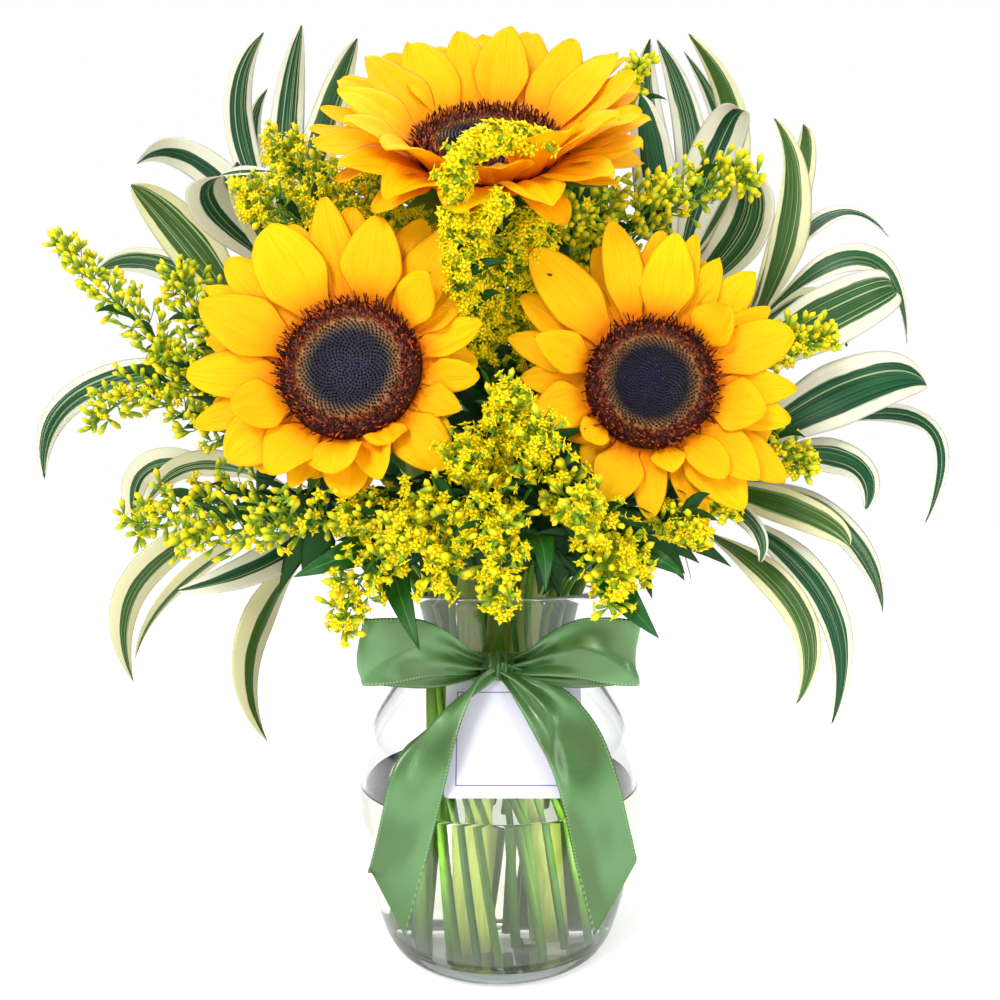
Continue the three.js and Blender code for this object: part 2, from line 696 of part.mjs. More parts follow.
// Ruscus: a thin stem with a few flat pointed leaves.
function addRuscus(name, { neck, top, leaves }) {
  const heading = vec(leaves[0][1]).sub(vec(top));
  const { rise, body } = stem({
    neck, top: vec(top), heading, radius: RUSCUS_STEM, sides: 5, steps: 4, endRadius: 1.2,
  });
  const blades = leaves.map(([height, crown, tip, width]) => {
    const root = rise.getPoint(height * 0.98);
    const side = acrossLeaf(root, vec(crown), vec(tip));
    return blade({ curve: bend(root, vec(crown), vec(tip)), side, width, outline: "lens", fold: 8 });
  });
  addNode(`ruscus_${name}`, "ruscus", join([body, ...blades]));
}

// A strip of ribbon through stations of middle, direction across and width. Its two faces are split along
// the same diagonals, so that it stays as thick where it twists.
function strip(stations) {
  const middles = stations.map(([middle]) => vec(middle));
  const rings = stations.map(([, direction, width], i) => {
    const before = middles[Math.max(i - 1, 0)];
    const after = middles[Math.min(i + 1, middles.length - 1)];
    const across = vec(direction).normalize();
    const through = after.clone().sub(before).cross(across).normalize();
    return [[1, 1], [1, -1], [-1, -1], [-1, 1]].map(([a, t]) =>
      middles[i]
        .clone()
        .addScaledVector(across, (a * width) / 2)
        .addScaledVector(through, (t * RIBBON_THICKNESS) / 2),
    );
  });
  return solid(loft(rings, (i, j) => j === 3));
}

// The band follows the neck of the vase from below the narrowest place to above it.
function addBand() {
  const radiusAt = (height) => {
    const above = VASE_PROFILE.findIndex(([, z]) => z >= height);
    const [[r0, z0], [r1, z1]] = VASE_PROFILE.slice(above - 1, above + 1);
    return THREE.MathUtils.mapLinear(height, z0, z1, r0, r1);
  };
  const line = [BAND.from, BAND.middle, BAND.to].map((z) => new THREE.Vector2(radiusAt(z), z));
  const shifted = (by) => line.map((point) => new THREE.Vector2(point.x + by, point.y));
  const inner = shifted(GAP);
  const profile = [...shifted(GAP + BAND.thickness), ...inner.reverse()];
  addNode("ribbon_band", "satin", solid(latheUpright([...profile, profile[0]])));
}

// The knot: a soft pad with eight sides, wider in its middle than at its ends.
function knotBody(grow) {
  const { centre, width, depth, height } = KNOT;
  const rows = [[-0.5, 0.62], [-0.3, 0.94], [0, 1], [0.3, 0.94], [0.5, 0.62]];
  const rings = rows.map(([along, share]) =>
    Array.from({ length: 8 }, (_, j) => {
      const angle = (2 * Math.PI * (j + 0.5)) / 8;
      const x = along * (width + 2 * grow);
      const y = (depth / 2 + grow) * share * Math.cos(angle);
      const z = (height / 2 + grow) * share * Math.sin(angle);
      return vec(centre).add(new THREE.Vector3(x, y, z));
    }),
  );
  return solid(loft(rings));
}

// The bow: knot, two loops that mirror each other, and two tails of their own.
function addBow() {
  addNode("ribbon_knot", "satin", knotBody(0));
  const room = knotBody(GAP);
  [["left", -1], ["right", 1]].forEach(([name, side]) => {
    const loop = LOOP.map(([[x, y, z], across, width]) => [[side * x, y, z], across, width]);
    addNode(`ribbon_loop_${name}`, "satin", strip(loop).subtract(room));
    addNode(`ribbon_tail_${name}`, "satin", strip(TAILS[name]).subtract(room));
  });
}

// A flat card with rounded corners and a round hole near the middle of its top edge.
function addCard() {
  const { width, height, thickness, corner, hole, holeDrop, shift } = CARD;
  const left = -width / 2;
  const right = width / 2;
  const outline = new THREE.Shape();
  outline.moveTo(left + corner, 0);
  outline.lineTo(right - corner, 0);
  outline.quadraticCurveTo(right, 0, right, -corner);
  outline.lineTo(right, corner - height);
  outline.quadraticCurveTo(right, -height, right - corner, -height);
  outline.lineTo(left + corner, -height);
  outline.quadraticCurveTo(left, -height, left, corner - height);
  outline.lineTo(left, -corner);
  outline.quadraticCurveTo(left, 0, left + corner, 0);
  outline.holes.push(new THREE.Path().absarc(0, -holeDrop, hole, 0, 2 * Math.PI));
  const stock = { depth: thickness, bevelEnabled: false, curveSegments: 3 };
  const mesh = addNode("card", "card", solid(new THREE.ExtrudeGeometry(outline, stock)));
  mesh.position.set(shift, ...CARD_TOP);
  mesh.rotation.x = radians(90 - CARD_LEAN);
}

const vaseWall = addVase();
addBand();
addCard();
addBow();
Object.entries(SUNFLOWERS).forEach(([name, flower], i) => addSunflower(name, flower, 11 + 7 * i));
Object.entries(DRACAENA).forEach(([name, plant]) => addDracaena(name, plant));
Object.entries(RUSCUS).forEach(([name, plant]) => addRuscus(name, plant));
GOLDENROD.forEach((plant, i) => addGoldenrod(i + 1, plant));
addWater(vaseWall);

export default bouquet;
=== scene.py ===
"""Sunflowers, goldenrod, striped dracaena and ruscus in a glass vase with a satin bow and a blank card.

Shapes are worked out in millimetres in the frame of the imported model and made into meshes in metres.
"""

import math

import bpy
import numpy as np
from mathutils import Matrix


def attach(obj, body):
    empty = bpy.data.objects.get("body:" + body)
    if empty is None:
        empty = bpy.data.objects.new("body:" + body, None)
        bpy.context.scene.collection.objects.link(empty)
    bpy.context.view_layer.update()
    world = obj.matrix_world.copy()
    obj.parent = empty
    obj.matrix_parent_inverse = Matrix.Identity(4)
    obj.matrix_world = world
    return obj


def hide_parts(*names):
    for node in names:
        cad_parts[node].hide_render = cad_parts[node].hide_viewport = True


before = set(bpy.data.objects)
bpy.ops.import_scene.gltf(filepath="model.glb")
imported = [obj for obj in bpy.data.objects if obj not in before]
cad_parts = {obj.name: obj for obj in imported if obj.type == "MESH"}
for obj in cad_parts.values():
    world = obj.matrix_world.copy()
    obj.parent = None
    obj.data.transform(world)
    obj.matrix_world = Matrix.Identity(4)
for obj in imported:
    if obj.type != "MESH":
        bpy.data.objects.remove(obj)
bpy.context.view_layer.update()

MM = 0.001
# The gap between the vase and what stands in it or goes round it.
GAP = 0.35
GOLDEN_ANGLE = math.radians(137.508)
# The camera's place.
EYE = np.array([0.0, -395.0, 206.0])

# The vase's outer wall, as radius and height, its height, wall and floor, the heights where its heel ends
# inside and where its lip starts, and the level of the water.
VASE_PROFILE = [
    (46, 0), (54.5, 5), (61.5, 25), (67, 52), (68.5, 76), (65, 102), (54.5, 120), (43.8, 133), (41.2, 142),
    (44.2, 156), (51, 170),
]
VASE_HEIGHT = 170
VASE_WALL = 2.6
VASE_FLOOR = 8
HEEL_TOP = 15
LIP_FOOT = 168.6
VASE_SIDES = 128
WATER_LEVEL = 77

# Every stem stands on the floor, leans round with the others and passes the neck upright.
FOOT_Z = VASE_FLOOR + GAP
NECK_Z = 143
STEM_TWIST = math.radians(38)
STEM_SPREAD = 1.22
STEM_REACH = 0.36

# Ribbon: stations of middle, direction across and width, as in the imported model. The turn round the neck
# and the knot have their flat strip's length in metres.
RIBBON_WIDTH = 25
BAND = {"from": 134.5, "to": 145, "strip": 0.27}
KNOT = {"centre": (-0.5, -50.9, 140.6), "width": 13, "depth": 14.6, "height": 11.4, "strip": 0.036}
LOOP = [
    ((7.2, -56.4, 142), (0, 0, 1), 7), ((14, -66, 145.6), (0, 0, 1), 12), ((21, -74, 150), (0, 0, 1), 18),
    ((31, -83, 153.4), (0, 0, 1), 23.5), ((42, -89.5, 153.8), (0, 0, 1), 26),
    ((50, -91.5, 153.6), (0, 0, 1), 26), ((54, -88, 153.2), (0, 0, 1), 26),
    ((51.5, -82, 152.4), (0, 0, 1), 26), ((42, -76.5, 149.6), (0, 0, 1), 25),
    ((29, -69.5, 145.6), (0, 0, 1), 21), ((17, -60.5, 142.6), (0, 0, 1), 14),
    ((7.2, -51, 141), (0, 0, 1), 7),
]
TAILS = {
    "left": [
        ((-1.5, -55, 139.4), (0.5, -0.2, 0.9), 9), ((-7.5, -58.4, 135.6), (0.5, -0.2, 0.9), 13),
        ((-14.5, -62.2, 130.4), (0.58, -0.25, 0.76), 19), ((-22.5, -66.6, 122.4), (0.75, -0.2, 0.56), 23.5),
        ((-28.4, -69.6, 112.4), (0.92, -0.2, 0.3), 25),
        ((-32.8, -73, 98.8), (0.97, -0.1, 0.2), 25), ((-37.5, -74, 79.2), (0.96, -0.05, 0.25), 25),
        ((-41.4, -74.4, 63.6), (0.96, -0.05, 0.25), 25), ((-45.4, -74.6, 49.6), (15, -0.6, -28), 31.8),
    ],
    "right": [
        ((1, -55, 139.4), (-0.2, 0.1, 0.97), 9), ((8, -58.6, 135.4), (0.3, 0.2, 0.9), 13),
        ((15.6, -62.4, 130), (0.55, 0.25, 0.78), 19), ((24, -66.8, 121.6), (0.74, 0.2, 0.6), 23.5),
        ((31.2, -69.8, 110.6), (0.9, 0.2, 0.35), 25),
        ((37, -73, 94.5), (0.98, 0.1, 0.16), 25), ((41, -74, 77), (0.97, 0.05, 0.22), 25),
        ((43.8, -74.4, 64.4), (0.97, 0.05, 0.22), 25), ((47, -74.6, 50.4), (17, 0.6, 29.5), 34),
    ],
}

CARD = {"width": 58, "height": 48, "inset": 5, "place": (6.2, -52.8, 134.6), "lean": 22}

# A head faces "turn" degrees to the right of -Y and "lift" degrees above the horizon.
SUNFLOWERS = {
    "left": {"centre": (-60, -75, 265), "turn": -6, "lift": 12, "neck": (-13, -4), "disc": 29},
    "right": {"centre": (63, -66, 261), "turn": -2, "lift": 5, "neck": (13, -6), "disc": 27},
    "top": {"centre": (-5, -60, 361), "turn": 0, "lift": 40, "neck": (0, 14), "disc": 31},
}
SUNFLOWER_STEM = 6.5
# How much broader the petals are than their rows say, and how many more stand behind them.
PETAL_BREADTH = {"left": 1.1, "right": 1.06, "top": 1.16}
BACKING_PETALS = {"left": 17, "right": 17, "top": 11}
# From the middle of a disc back to the top of its stem.
HEAD_DEPTH = 17
FLORETS = 1300
BRACTS = 26

# Petals that face the front: the tip as seen from there, to the right of and above the disc's middle, then
# the width, the rise in degrees, the bulge as a share of the length and the roll in degrees.
FACING_PETALS = {
    "left": [
        (-11, 70.5, 19, 14, 0.05, 0), (0.9, 65.4, 17, 10, 0.05, 0), (31, 62, 19, 13, 0.06, 0),
        (47.4, 34.7, 16, 16, 0.05, 8), (53.5, 18.9, 17, 14, 0.03, -10), (52, -2.2, 13, 12, 0.04, 25),
        (44.3, -15.8, 14, 10, 0.06, 0), (39.5, -39.5, 21, 6, 0.08, 0), (-1.8, -52.7, 20, 2, 0.1, 0),
        (-25, -48.3, 13, 6, 0.06, -20), (-51.8, -36.9, 23, 8, 0.07, 0), (-65.4, -23.3, 14, 6, 0.05, 0),
        (-59.7, 35, 15, 8, 0.05, 0), (-24.6, 60.6, 15, 10, 0.05, 0), (-51.8, 46.5, 19, 12, 0.06, 0),
        (12, 62.5, 26, 26, 0.09, 0), (41.7, 55.3, 23, 24, 0.07, -6), (34, 40, 17, 44, 0.05, 12),
        (12.7, -44.8, 16, 18, 0.12, 10), (17, -30.3, 17, 36, 0.2, -20), (-8, -42, 24, 30, 0.2, 24),
        (-34, -42.5, 23, 18, 0.12, 0), (-49, -18, 21, 32, 0.08, 0), (-67.6, -1.8, 20, 14, 0.06, 0),
        (-61.9, 26.8, 25, 18, 0.07, 0), (-35, 58.4, 27, 22, 0.08, 0),
    ],
    "right": [
        (3.9, 64.4, 16, 12, 0.05, 0), (19.3, 64, 14, 10, 0.05, 0), (29.4, 53.5, 16, 12, 0.05, 0),
        (44.7, 47.3, 17, 8, 0.05, 10), (50.4, 31.6, 14, 12, 0.04, 0), (59.6, -16.2, 18, 8, 0.06, 0),
        (56.4, -40.6, 17, 4, 0.05, 0), (39.9, -53.5, 23, 4, 0.07, 0), (23.2, -60.5, 13, 2, 0.04, 0),
        (-0.4, -57, 14, 4, 0.08, 0), (-55.7, 2.6, 16, 6, 0.05, 0), (-59.6, 19.7, 17, 6, 0.05, 0),
        (-55.7, 37.7, 17, 8, 0.05, 0), (-9.2, 61, 15, 8, 0.05, 0), (61.8, -2.2, 16, 12, 0.05, 14),
        (-16.2, 68.8, 17, 16, 0.05, 8), (11, 64.4, 22, 20, 0.07, 0), (34.6, 33, 20, 38, 0.07, 0),
        (60.5, 21.5, 21, 18, 0.06, 0), (49, -11.8, 22, 30, 0.08, 0), (46.5, -40.6, 19, 16, 0.08, 0),
        (31.6, -39.9, 15, 26, 0.1, 0), (9.2, -37.3, 14, 30, 0.16, 0), (-18.9, -50.9, 21, 8, 0.1, 0),
        (-28.5, -24.1, 14, 34, 0.14, 0), (-49.1, -12.3, 21, 14, 0.08, 0), (-49.5, 19.7, 17, 32, 0.06, 0),
        (-50.4, 56.6, 22, 16, 0.06, 0),
    ],
}
# Petals of the head that faces up: angle on the disc from its right, length, then as above.
TURNED_PETALS = [
    (92, 47, 27, 24, 0.04, 0), (74, 47, 28, 24, 0.04, 0), (110, 44, 23, 20, 0.04, 0),
    (131, 47, 30, 18, 0.05, 0), (150, 47, 28, 15, 0.05, 0), (164, 46, 16, 12, 0.02, 0),
    (176, 44, 16, 10, 0.03, 0), (57, 44, 22, 20, 0.04, 0), (44, 47, 23, 22, 0.04, 0),
    (33, 48, 20, 26, 0.04, -24), (19, 42, 27, 24, 0.06, 0), (4, 39, 26, 16, 0.07, 0),
    (190, 41, 24, 13, 0.08, 0), (212, 38, 24, 14, 0.1, 0), (236, 36, 24, 14, 0.1, 0),
    (262, 34, 22, 13, 0.1, 0), (292, 36, 24, 14, 0.12, 0), (318, 35, 25, 15, 0.1, 0),
    (342, 36, 25, 16, 0.08, 0), (82, 42, 22, 36, 0.05, 0), (101, 41, 21, 34, 0.05, 0),
    (122, 40, 22, 32, 0.05, 0), (143, 41, 24, 30, 0.06, 0), (168, 38, 24, 30, 0.08, 0),
    (200, 34, 24, 34, 0.12, 0), (228, 32, 26, 38, 0.14, 0), (276, 28, 26, 38, 0.14, 0),
    (303, 34, 28, 48, 0.14, 0), (330, 36, 26, 40, 0.12, 0), (352, 36, 24, 32, 0.08, 0),
    (12, 40, 22, 36, 0.06, 0), (30, 42, 22, 38, 0.05, 0), (52, 40, 22, 36, 0.05, 0),
]

# Leafy stems: the place in the neck, the top and the heading there, then the leaves from the top down.
# A leaf is: share of the stem's height, middle of its bend, tip, width and roll in degrees.
DRACAENA = {
    "left_high": ((-19, 12), (-112, 12, 352), (-0.35, 0, 1), [
        (1, (-137, 22, 415), (-119, 5, 451), 15, 20), (0.985, (-113, 26, 415), (-97, -6, 448), 17, 0),
        (0.96, (-92, 22, 412), (-69, -10, 439), 17, 0), (0.93, (-150, 6, 384), (-173, -18, 374), 17, 35),
        (0.9, (-137, -22, 356), (-99, -46, 358), 20, 35),
        (0.86, (-118, -14, 352), (-119, -36, 367), 16, 10),
        (0.97, (-133, 34, 404), (-125, 32, 437), 9, 0),
    ]),
    "left_middle": ((-27, 3), (-128, 8, 305), (-0.8, 0, 1), [
        (1, (-156, -4, 345), (-171, -28, 360), 24, 10), (0.96, (-172, 14, 334), (-213, 22, 334), 17, 55),
        (0.86, (-214, 22, 274), (-234, 12, 225), 15, 50),
    ]),
    "left_low": ((-33, -3), (-104, 2, 218), (-1, 0, 0.35), [
        (1, (-182, 22, 233), (-184, 12, 189), 15, 50), (0.97, (-150, 4, 232), (-176, -2, 211), 15, 45),
        (0.93, (-172, -6, 180), (-178, -10, 125), 17, 50),
        (0.87, (-146, -18, 178), (-170, -26, 139), 12, 40),
        (0.82, (-104, -36, 186), (-138, -58, 174), 16, 30),
        (0.74, (-111, -33, 154), (-102, -46, 106), 18, 55),
    ]),
    "right_high": ((19, 12), (98, 12, 345), (0.35, 0, 1), [
        (1, (80, 24, 412), (76, 2, 446), 18, 0), (0.985, (104, 34, 410), (82, 16, 454), 17, 0),
        (0.965, (126, 28, 405), (96, 6, 451), 16, 0), (0.94, (128, 46, 400), (101, 38, 461), 13, 0),
        (0.92, (107, -8, 385), (114, -28, 394), 24, 0), (0.89, (76, -6, 378), (67, -20, 406), 20, 0),
        (0.85, (117, -22, 346), (94, -46, 366), 23, 0),
    ]),
    "right_middle": ((27, 3), (128, 8, 300), (0.8, 0, 1), [
        (1, (143, -8, 356), (131, -18, 396), 23, 0), (0.975, (157, 22, 376), (159, 18, 411), 14, 0),
        (0.95, (164, 12, 356), (196, 2, 346), 15, 55), (0.91, (172, -10, 331), (201, -6, 290), 17, 50),
        (0.88, (170, 34, 322), (194, 46, 300), 16, 30), (0.84, (164, -24, 304), (194, -6, 317), 27, 0),
    ]),
    "right_low": ((33, -4), (118, 4, 236), (1, 0, 0.5), [
        (1, (172, -18, 268), (214, 0, 271), 29, 0), (0.97, (212, 12, 256), (214, 2, 202), 17, 60),
        (0.93, (163, -14, 233), (173, -22, 209), 22, 60), (0.88, (162, -6, 204), (189, -6, 158), 20, 45),
        (0.82, (138, -30, 208), (160, -34, 192), 16, 30), (0.74, (145, -30, 175), (151, -36, 111), 17, 55),
        (0.64, (125, -47, 172), (126, -60, 126), 15, 55), (0.79, (107, -52, 205), (111, -58, 186), 9, 10),
    ]),
    "back_left": ((-8, 29), (-46, 62, 322), (-0.3, 0.4, 1), [
        (1, (-48, 84, 388), (-30, 88, 428), 19, 0), (0.97, (-84, 78, 372), (-112, 84, 392), 18, 30),
        (0.93, (-84, 96, 318), (-128, 112, 296), 18, 40), (0.88, (-52, 118, 300), (-66, 146, 262), 18, 20),
        (0.8, (-22, 108, 290), (-18, 132, 240), 17, 0), (0.74, (-88, 84, 234), (-118, 98, 176), 16, 45),
    ]),
    "back_right": ((10, 29), (52, 64, 308), (0.3, 0.4, 1), [
        (1, (50, 90, 372), (34, 92, 416), 19, 0), (0.97, (92, 84, 352), (120, 90, 372), 18, 30),
        (0.93, (96, 98, 300), (138, 110, 272), 18, 40), (0.88, (56, 122, 284), (72, 146, 244), 18, 20),
        (0.8, (26, 104, 262), (28, 130, 206), 17, 0), (0.72, (92, 84, 222), (120, 96, 164), 16, 45),
    ]),
}
DRACAENA_STEM = (3.6, 2.4)
# Leaves rolled this far or more hang steeply and keep their own side; the others turn towards the front.
STEEP_ROLL = 40

# Goldenrod: the place in the neck, the fork, the share of open florets, then the plumes as the middle of
# the bend, the tip and the radius.
GOLDENROD = [
    ((-27, -10), (-112, -18, 246), 0.1, [
        ((-172, -8, 296), (-216, -4, 340), 9), ((-150, -26, 268), (-192, -22, 248), 9),
        ((-136, -24, 290), (-150, -26, 318), 10)]),
    ((-30, -17), (-84, -42, 204), 0.15, [
        ((-126, -44, 210), (-168, -30, 200), 10), ((-108, -62, 200), (-130, -70, 196), 9),
        ((-76, -74, 206), (-98, -88, 198), 9)]),
    ((-11, 7), (-58, -16, 316), 0.95, [
        ((-84, -30, 354), (-101, -30, 374), 8), ((-84, -46, 334), (-108, -56, 340), 9),
        ((-40, -34, 330), (-50, -50, 336), 7)]),
    ((0, -8), (-2, -44, 258), 1, [
        ((-18, -104, 324), (18, -98, 345), 3), ((-16, -50, 292), (-24, -62, 318), 8),
        ((12, -54, 292), (18, -70, 318), 8)]),
    ((1, -20), (2, -58, 222), 0.9, [
        ((9, -90, 228), (15, -110, 234), 8), ((-8, -86, 225), (-14, -104, 226), 8),
        ((3, -88, 236), (5, -110, 248), 7)]),
    ((-20, -26), (-30, -60, 204), 0.6, [
        ((-46, -90, 192), (-60, -98, 164), 9), ((-28, -92, 206), (-38, -108, 194), 9),
        ((-50, -76, 206), (-60, -84, 202), 6)]),
    ((-6, -31), (-6, -66, 204), 0.7, [
        ((-1, -100, 200), (0, -106, 170), 9), ((-16, -100, 202), (-22, -106, 176), 8),
        ((-4, -92, 207), (-9, -108, 201), 8)]),
    ((14, -28), (26, -62, 204), 0.6, [
        ((37, -92, 200), (42, -102, 172), 9), ((45, -82, 196), (52, -92, 181), 7),
        ((25, -90, 212), (31, -110, 204), 9)]),
    ((9, 8), (44, -10, 316), 0.15, [
        ((80, -46, 344), (110, -52, 352), 8), ((60, -40, 336), (72, -54, 346), 9),
        ((36, -40, 326), (30, -58, 336), 8)]),
    ((27, -11), (100, -24, 256), 0.3, [
        ((124, -34, 278), (147, -42, 286), 9), ((118, -36, 240), (138, -44, 226), 9)]),
    ((21, -26), (60, -50, 204), 0.7, [
        ((80, -62, 212), (96, -68, 206), 7), ((72, -72, 202), (80, -82, 197), 7)]),
    ((11, 19), (36, 8, 372), 0.1, [
        ((58, -4, 404), (68, -18, 422), 8), ((44, 16, 398), (38, 26, 420), 8)]),
    ((-20, 22), (-60, 34, 270), 0.6, [
        ((-70, 46, 312), (-78, 54, 342), 10), ((-86, 52, 274), (-110, 58, 268), 10),
        ((-58, 62, 286), (-64, 84, 290), 9)]),
    ((22, 21), (62, 34, 262), 0.6, [
        ((74, 46, 304), (82, 54, 332), 10), ((88, 52, 262), (112, 58, 252), 10),
        ((60, 62, 276), (66, 84, 280), 9)]),
]
GOLDENROD_STEM = (1.8, 1.4)
# The marks of its green stalks: kind, height and tone. Its leaves have a kind of their own.
STALK_MARKS = (0.12, 0.5, 0.4)
LEAF_KIND = 0.02
# Leaves below the fork, along the plumes and in the fan below the fork: share of the length and the width.
LEAF_SIZES = ((1, 1), (0.55, 0.7), (1.35, 1.9))
# Above this height a fan opens all round and leans back. Below it, its leaves hang and come forward.
HIGH_FORK = 210
# How far the florets of a stem stand out, as a share of its plumes' radius, where it isn't 1.55.
PLUME_FULLNESS = {1: 1.5, 2: 1.8, 3: 2.1, 4: 1.35, 5: 1.7, 9: 1.5, 10: 1.1, 11: 1, 12: 1, 13: 1.9, 14: 1.9}
# How many broad dark leaves fan out below a fork, where it isn't 6. Besides being leaves, their dark green
# stands for the shade in the gaps between the plumes: painted shade.
LEAF_FANS = {3: 18, 4: 26, 5: 22, 6: 14, 7: 12, 8: 18, 9: 18, 11: 16, 12: 22, 13: 20, 14: 20}
# Smaller sprays that close the mass of florets between the plumes, by the stem's number.
MORE_PLUMES = {
    1: [((-132, -22, 262), (-160, -26, 284), 9), ((-126, -20, 276), (-136, -26, 304), 9),
        ((-130, -26, 246), (-164, -28, 262), 8)],
    3: [((-50, -34, 326), (-66, -48, 338), 7), ((-36, -36, 332), (-40, -52, 349), 7),
        ((-64, -26, 336), (-74, -42, 356), 7), ((-57, -24, 344), (-60, -30, 364), 5)],
    4: [((-18, -46, 288), (-32, -54, 306), 7), ((16, -48, 284), (30, -56, 300), 7),
        ((-6, -60, 290), (-8, -76, 318), 6), ((4, -64, 308), (20, -76, 328), 6),
        ((-12, -82, 298), (1, -100, 323), 4), ((-16, -88, 300), (-13, -102, 332), 4)],
    9: [((40, -34, 322), (48, -52, 330), 7), ((44, -34, 332), (50, -48, 350), 7)],
}

# Ruscus: the place in the neck, the top, then leaves as share of height, middle, tip and width.
RUSCUS = {
    "left": ((-24, -20), (-50, -62, 194), [
        (1, (-58, -94, 191), (-77, -100, 183), 14), (0.86, (-40, -86, 180), (-29, -104, 156), 15)]),
    "right": ((27, -19), (50, -62, 190), [
        (1, (60, -80, 190), (73, -84, 182), 12), (0.86, (46, -90, 178), (60, -100, 160), 17)]),
    "centre": ((8, -22), (12, -74, 196), [
        (1, (16, -96, 196), (17, -106, 178), 13), (0.8, (8, -84, 206), (12, -108, 216), 12)]),
}
RUSCUS_STEM = (1.6, 1.2)


# Numbers and directions


def smooth(low, high, t):
    """Smooth step: 0 below low, 1 above high, 3 u^2 - 2 u^3 between them."""
    u = np.clip((t - low) / (high - low), 0, 1)
    return u * u * (3 - 2 * u)


def unit(v):
    """Directions of length 1."""
    return v / np.maximum(np.linalg.norm(v, axis=-1, keepdims=True), 1e-9)


def turned(v, axis, angle):
    """Vectors v turned about unit axes: v cos + (axis x v) sin + axis (axis . v) (1 - cos)."""
    c, s = np.cos(angle)[:, None], np.sin(angle)[:, None]
    return v * c + np.cross(axis, v) * s + axis * (axis * v).sum(-1, keepdims=True) * (1 - c)


def bend(root, crown, tip, s):
    """Points and headings at shares s of the parabola from root over crown, half way, to tip."""
    root, crown, tip = (np.asarray(p, float) for p in (root, crown, tip))
    pull = 2 * crown - (root + tip) / 2
    s = np.asarray(s)[:, None]
    points = (1 - s) ** 2 * root + 2 * s * (1 - s) * pull + s**2 * tip
    return points, unit((1 - s) * (pull - root) + s * (tip - pull))


def rise_of(neck, top, heading, s):
    """Points at shares s of the cubic from the neck to the top, which leaves along the stem's lean and ends
    along heading."""
    start = np.array([*neck, NECK_Z], float)
    reach = np.linalg.norm(start - top) * STEM_REACH
    first = start + unit(start - foot_of(neck)) * reach
    second = np.asarray(top, float) - unit(np.asarray(heading, float)) * reach
    s = np.atleast_1d(s)[:, None]
    u = 1 - s
    return u**3 * start + 3 * s * u**2 * first + 3 * s**2 * u * second + s**3 * np.array(top)


def foot_of(neck):
    """Where a stem that passes the neck stands on the floor: turned by the twist and spread."""
    x, y = neck
    c, s = math.cos(STEM_TWIST), math.sin(STEM_TWIST)
    return np.array([(x * c - y * s) * STEM_SPREAD, (x * s + y * c) * STEM_SPREAD, FOOT_Z])


def whole_stem(neck, top, heading, straight=10, rising=26):
    """Points from the floor straight to the neck, and then along its rise to the top."""
    foot, start = foot_of(neck), np.array([*neck, NECK_Z], float)
    lower = foot + np.linspace(0, 1, straight)[:, None] * (start - foot)
    return np.vstack([lower, rise_of(neck, top, heading, np.linspace(0, 1, rising)[1:])])


def through(stations, t):
    """Catmull-Rom curve through rows of stations, at t from 0 to 1: cubic in t between two rows."""
    rows = np.asarray(stations, float)
    padded = np.vstack([2 * rows[0] - rows[1], rows, 2 * rows[-1] - rows[-2]])
    at = np.clip(t, 0, 1) * (len(rows) - 1)
    i = np.minimum(at.astype(int), len(rows) - 2)
    u = (at - i)[:, None]
    a, b, c, d = padded[i], padded[i + 1], padded[i + 2], padded[i + 3]
    return b + 0.5 * u * (c - a + u * (2 * a - 5 * b + 4 * c - d + u * (3 * (b - c) + d - a)))


# Meshes


def placed(name, data):
    """A new object in the scene."""
    item = bpy.data.objects.new(name, data)
    bpy.context.scene.collection.objects.link(item)
    return item


class Pile:
    """The parts of one piece, gathered as arrays before its mesh is made."""

    def __init__(self):
        self.points, self.loops, self.sizes, self.marks, self.count = [], [], [], [], 0

    def add(self, points, polygons, marks):
        """Adds a closed part. marks holds three numbers a vertex, which its material reads."""
        for polygon in polygons:
            self.loops.append((polygon + self.count).ravel())
            self.sizes.append(np.full(len(polygon), polygon.shape[1]))
        self.points.append(points)
        self.marks.append(np.broadcast_to(marks, (len(points), 3)))
        self.count += len(points)

    def piece(self, node, material):
        """The mesh object of the gathered parts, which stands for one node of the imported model."""
        name = f"{node}_fine"
        mesh = bpy.data.meshes.new(name)
        sizes, loops = np.concatenate(self.sizes), np.concatenate(self.loops)
        mesh.vertices.add(self.count)
        mesh.vertices.foreach_set("co", (np.concatenate(self.points) * MM).ravel())
        mesh.loops.add(len(loops))
        mesh.loops.foreach_set("vertex_index", loops)
        mesh.polygons.add(len(sizes))
        mesh.polygons.foreach_set("loop_start", np.concatenate([[0], np.cumsum(sizes)[:-1]]))
        marks = mesh.attributes.new("marks", "FLOAT_VECTOR", "POINT")
        marks.data.foreach_set("vector", np.concatenate(self.marks).ravel())
        mesh.update(calc_edges=True)
        mesh.polygons.foreach_set("use_smooth", np.full(len(sizes), True))
        mesh.materials.append(material)
        item = placed(name, mesh)
        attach(item, "root")
        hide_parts(node)
        return item


def outward(points, polygons):
    """The polygons, turned round if the volume that they enclose, sum of p . (q x r) / 6, is negative."""
    volume = 0
    for polygon in polygons:
        for k in range(1, polygon.shape[1] - 1):
            p, q, r = (points[polygon[:, n]] for n in (0, k, k + 1))
            volume += (p * np.cross(q, r)).sum()
    return polygons if volume > 0 else [polygon[:, ::-1] for polygon in polygons]


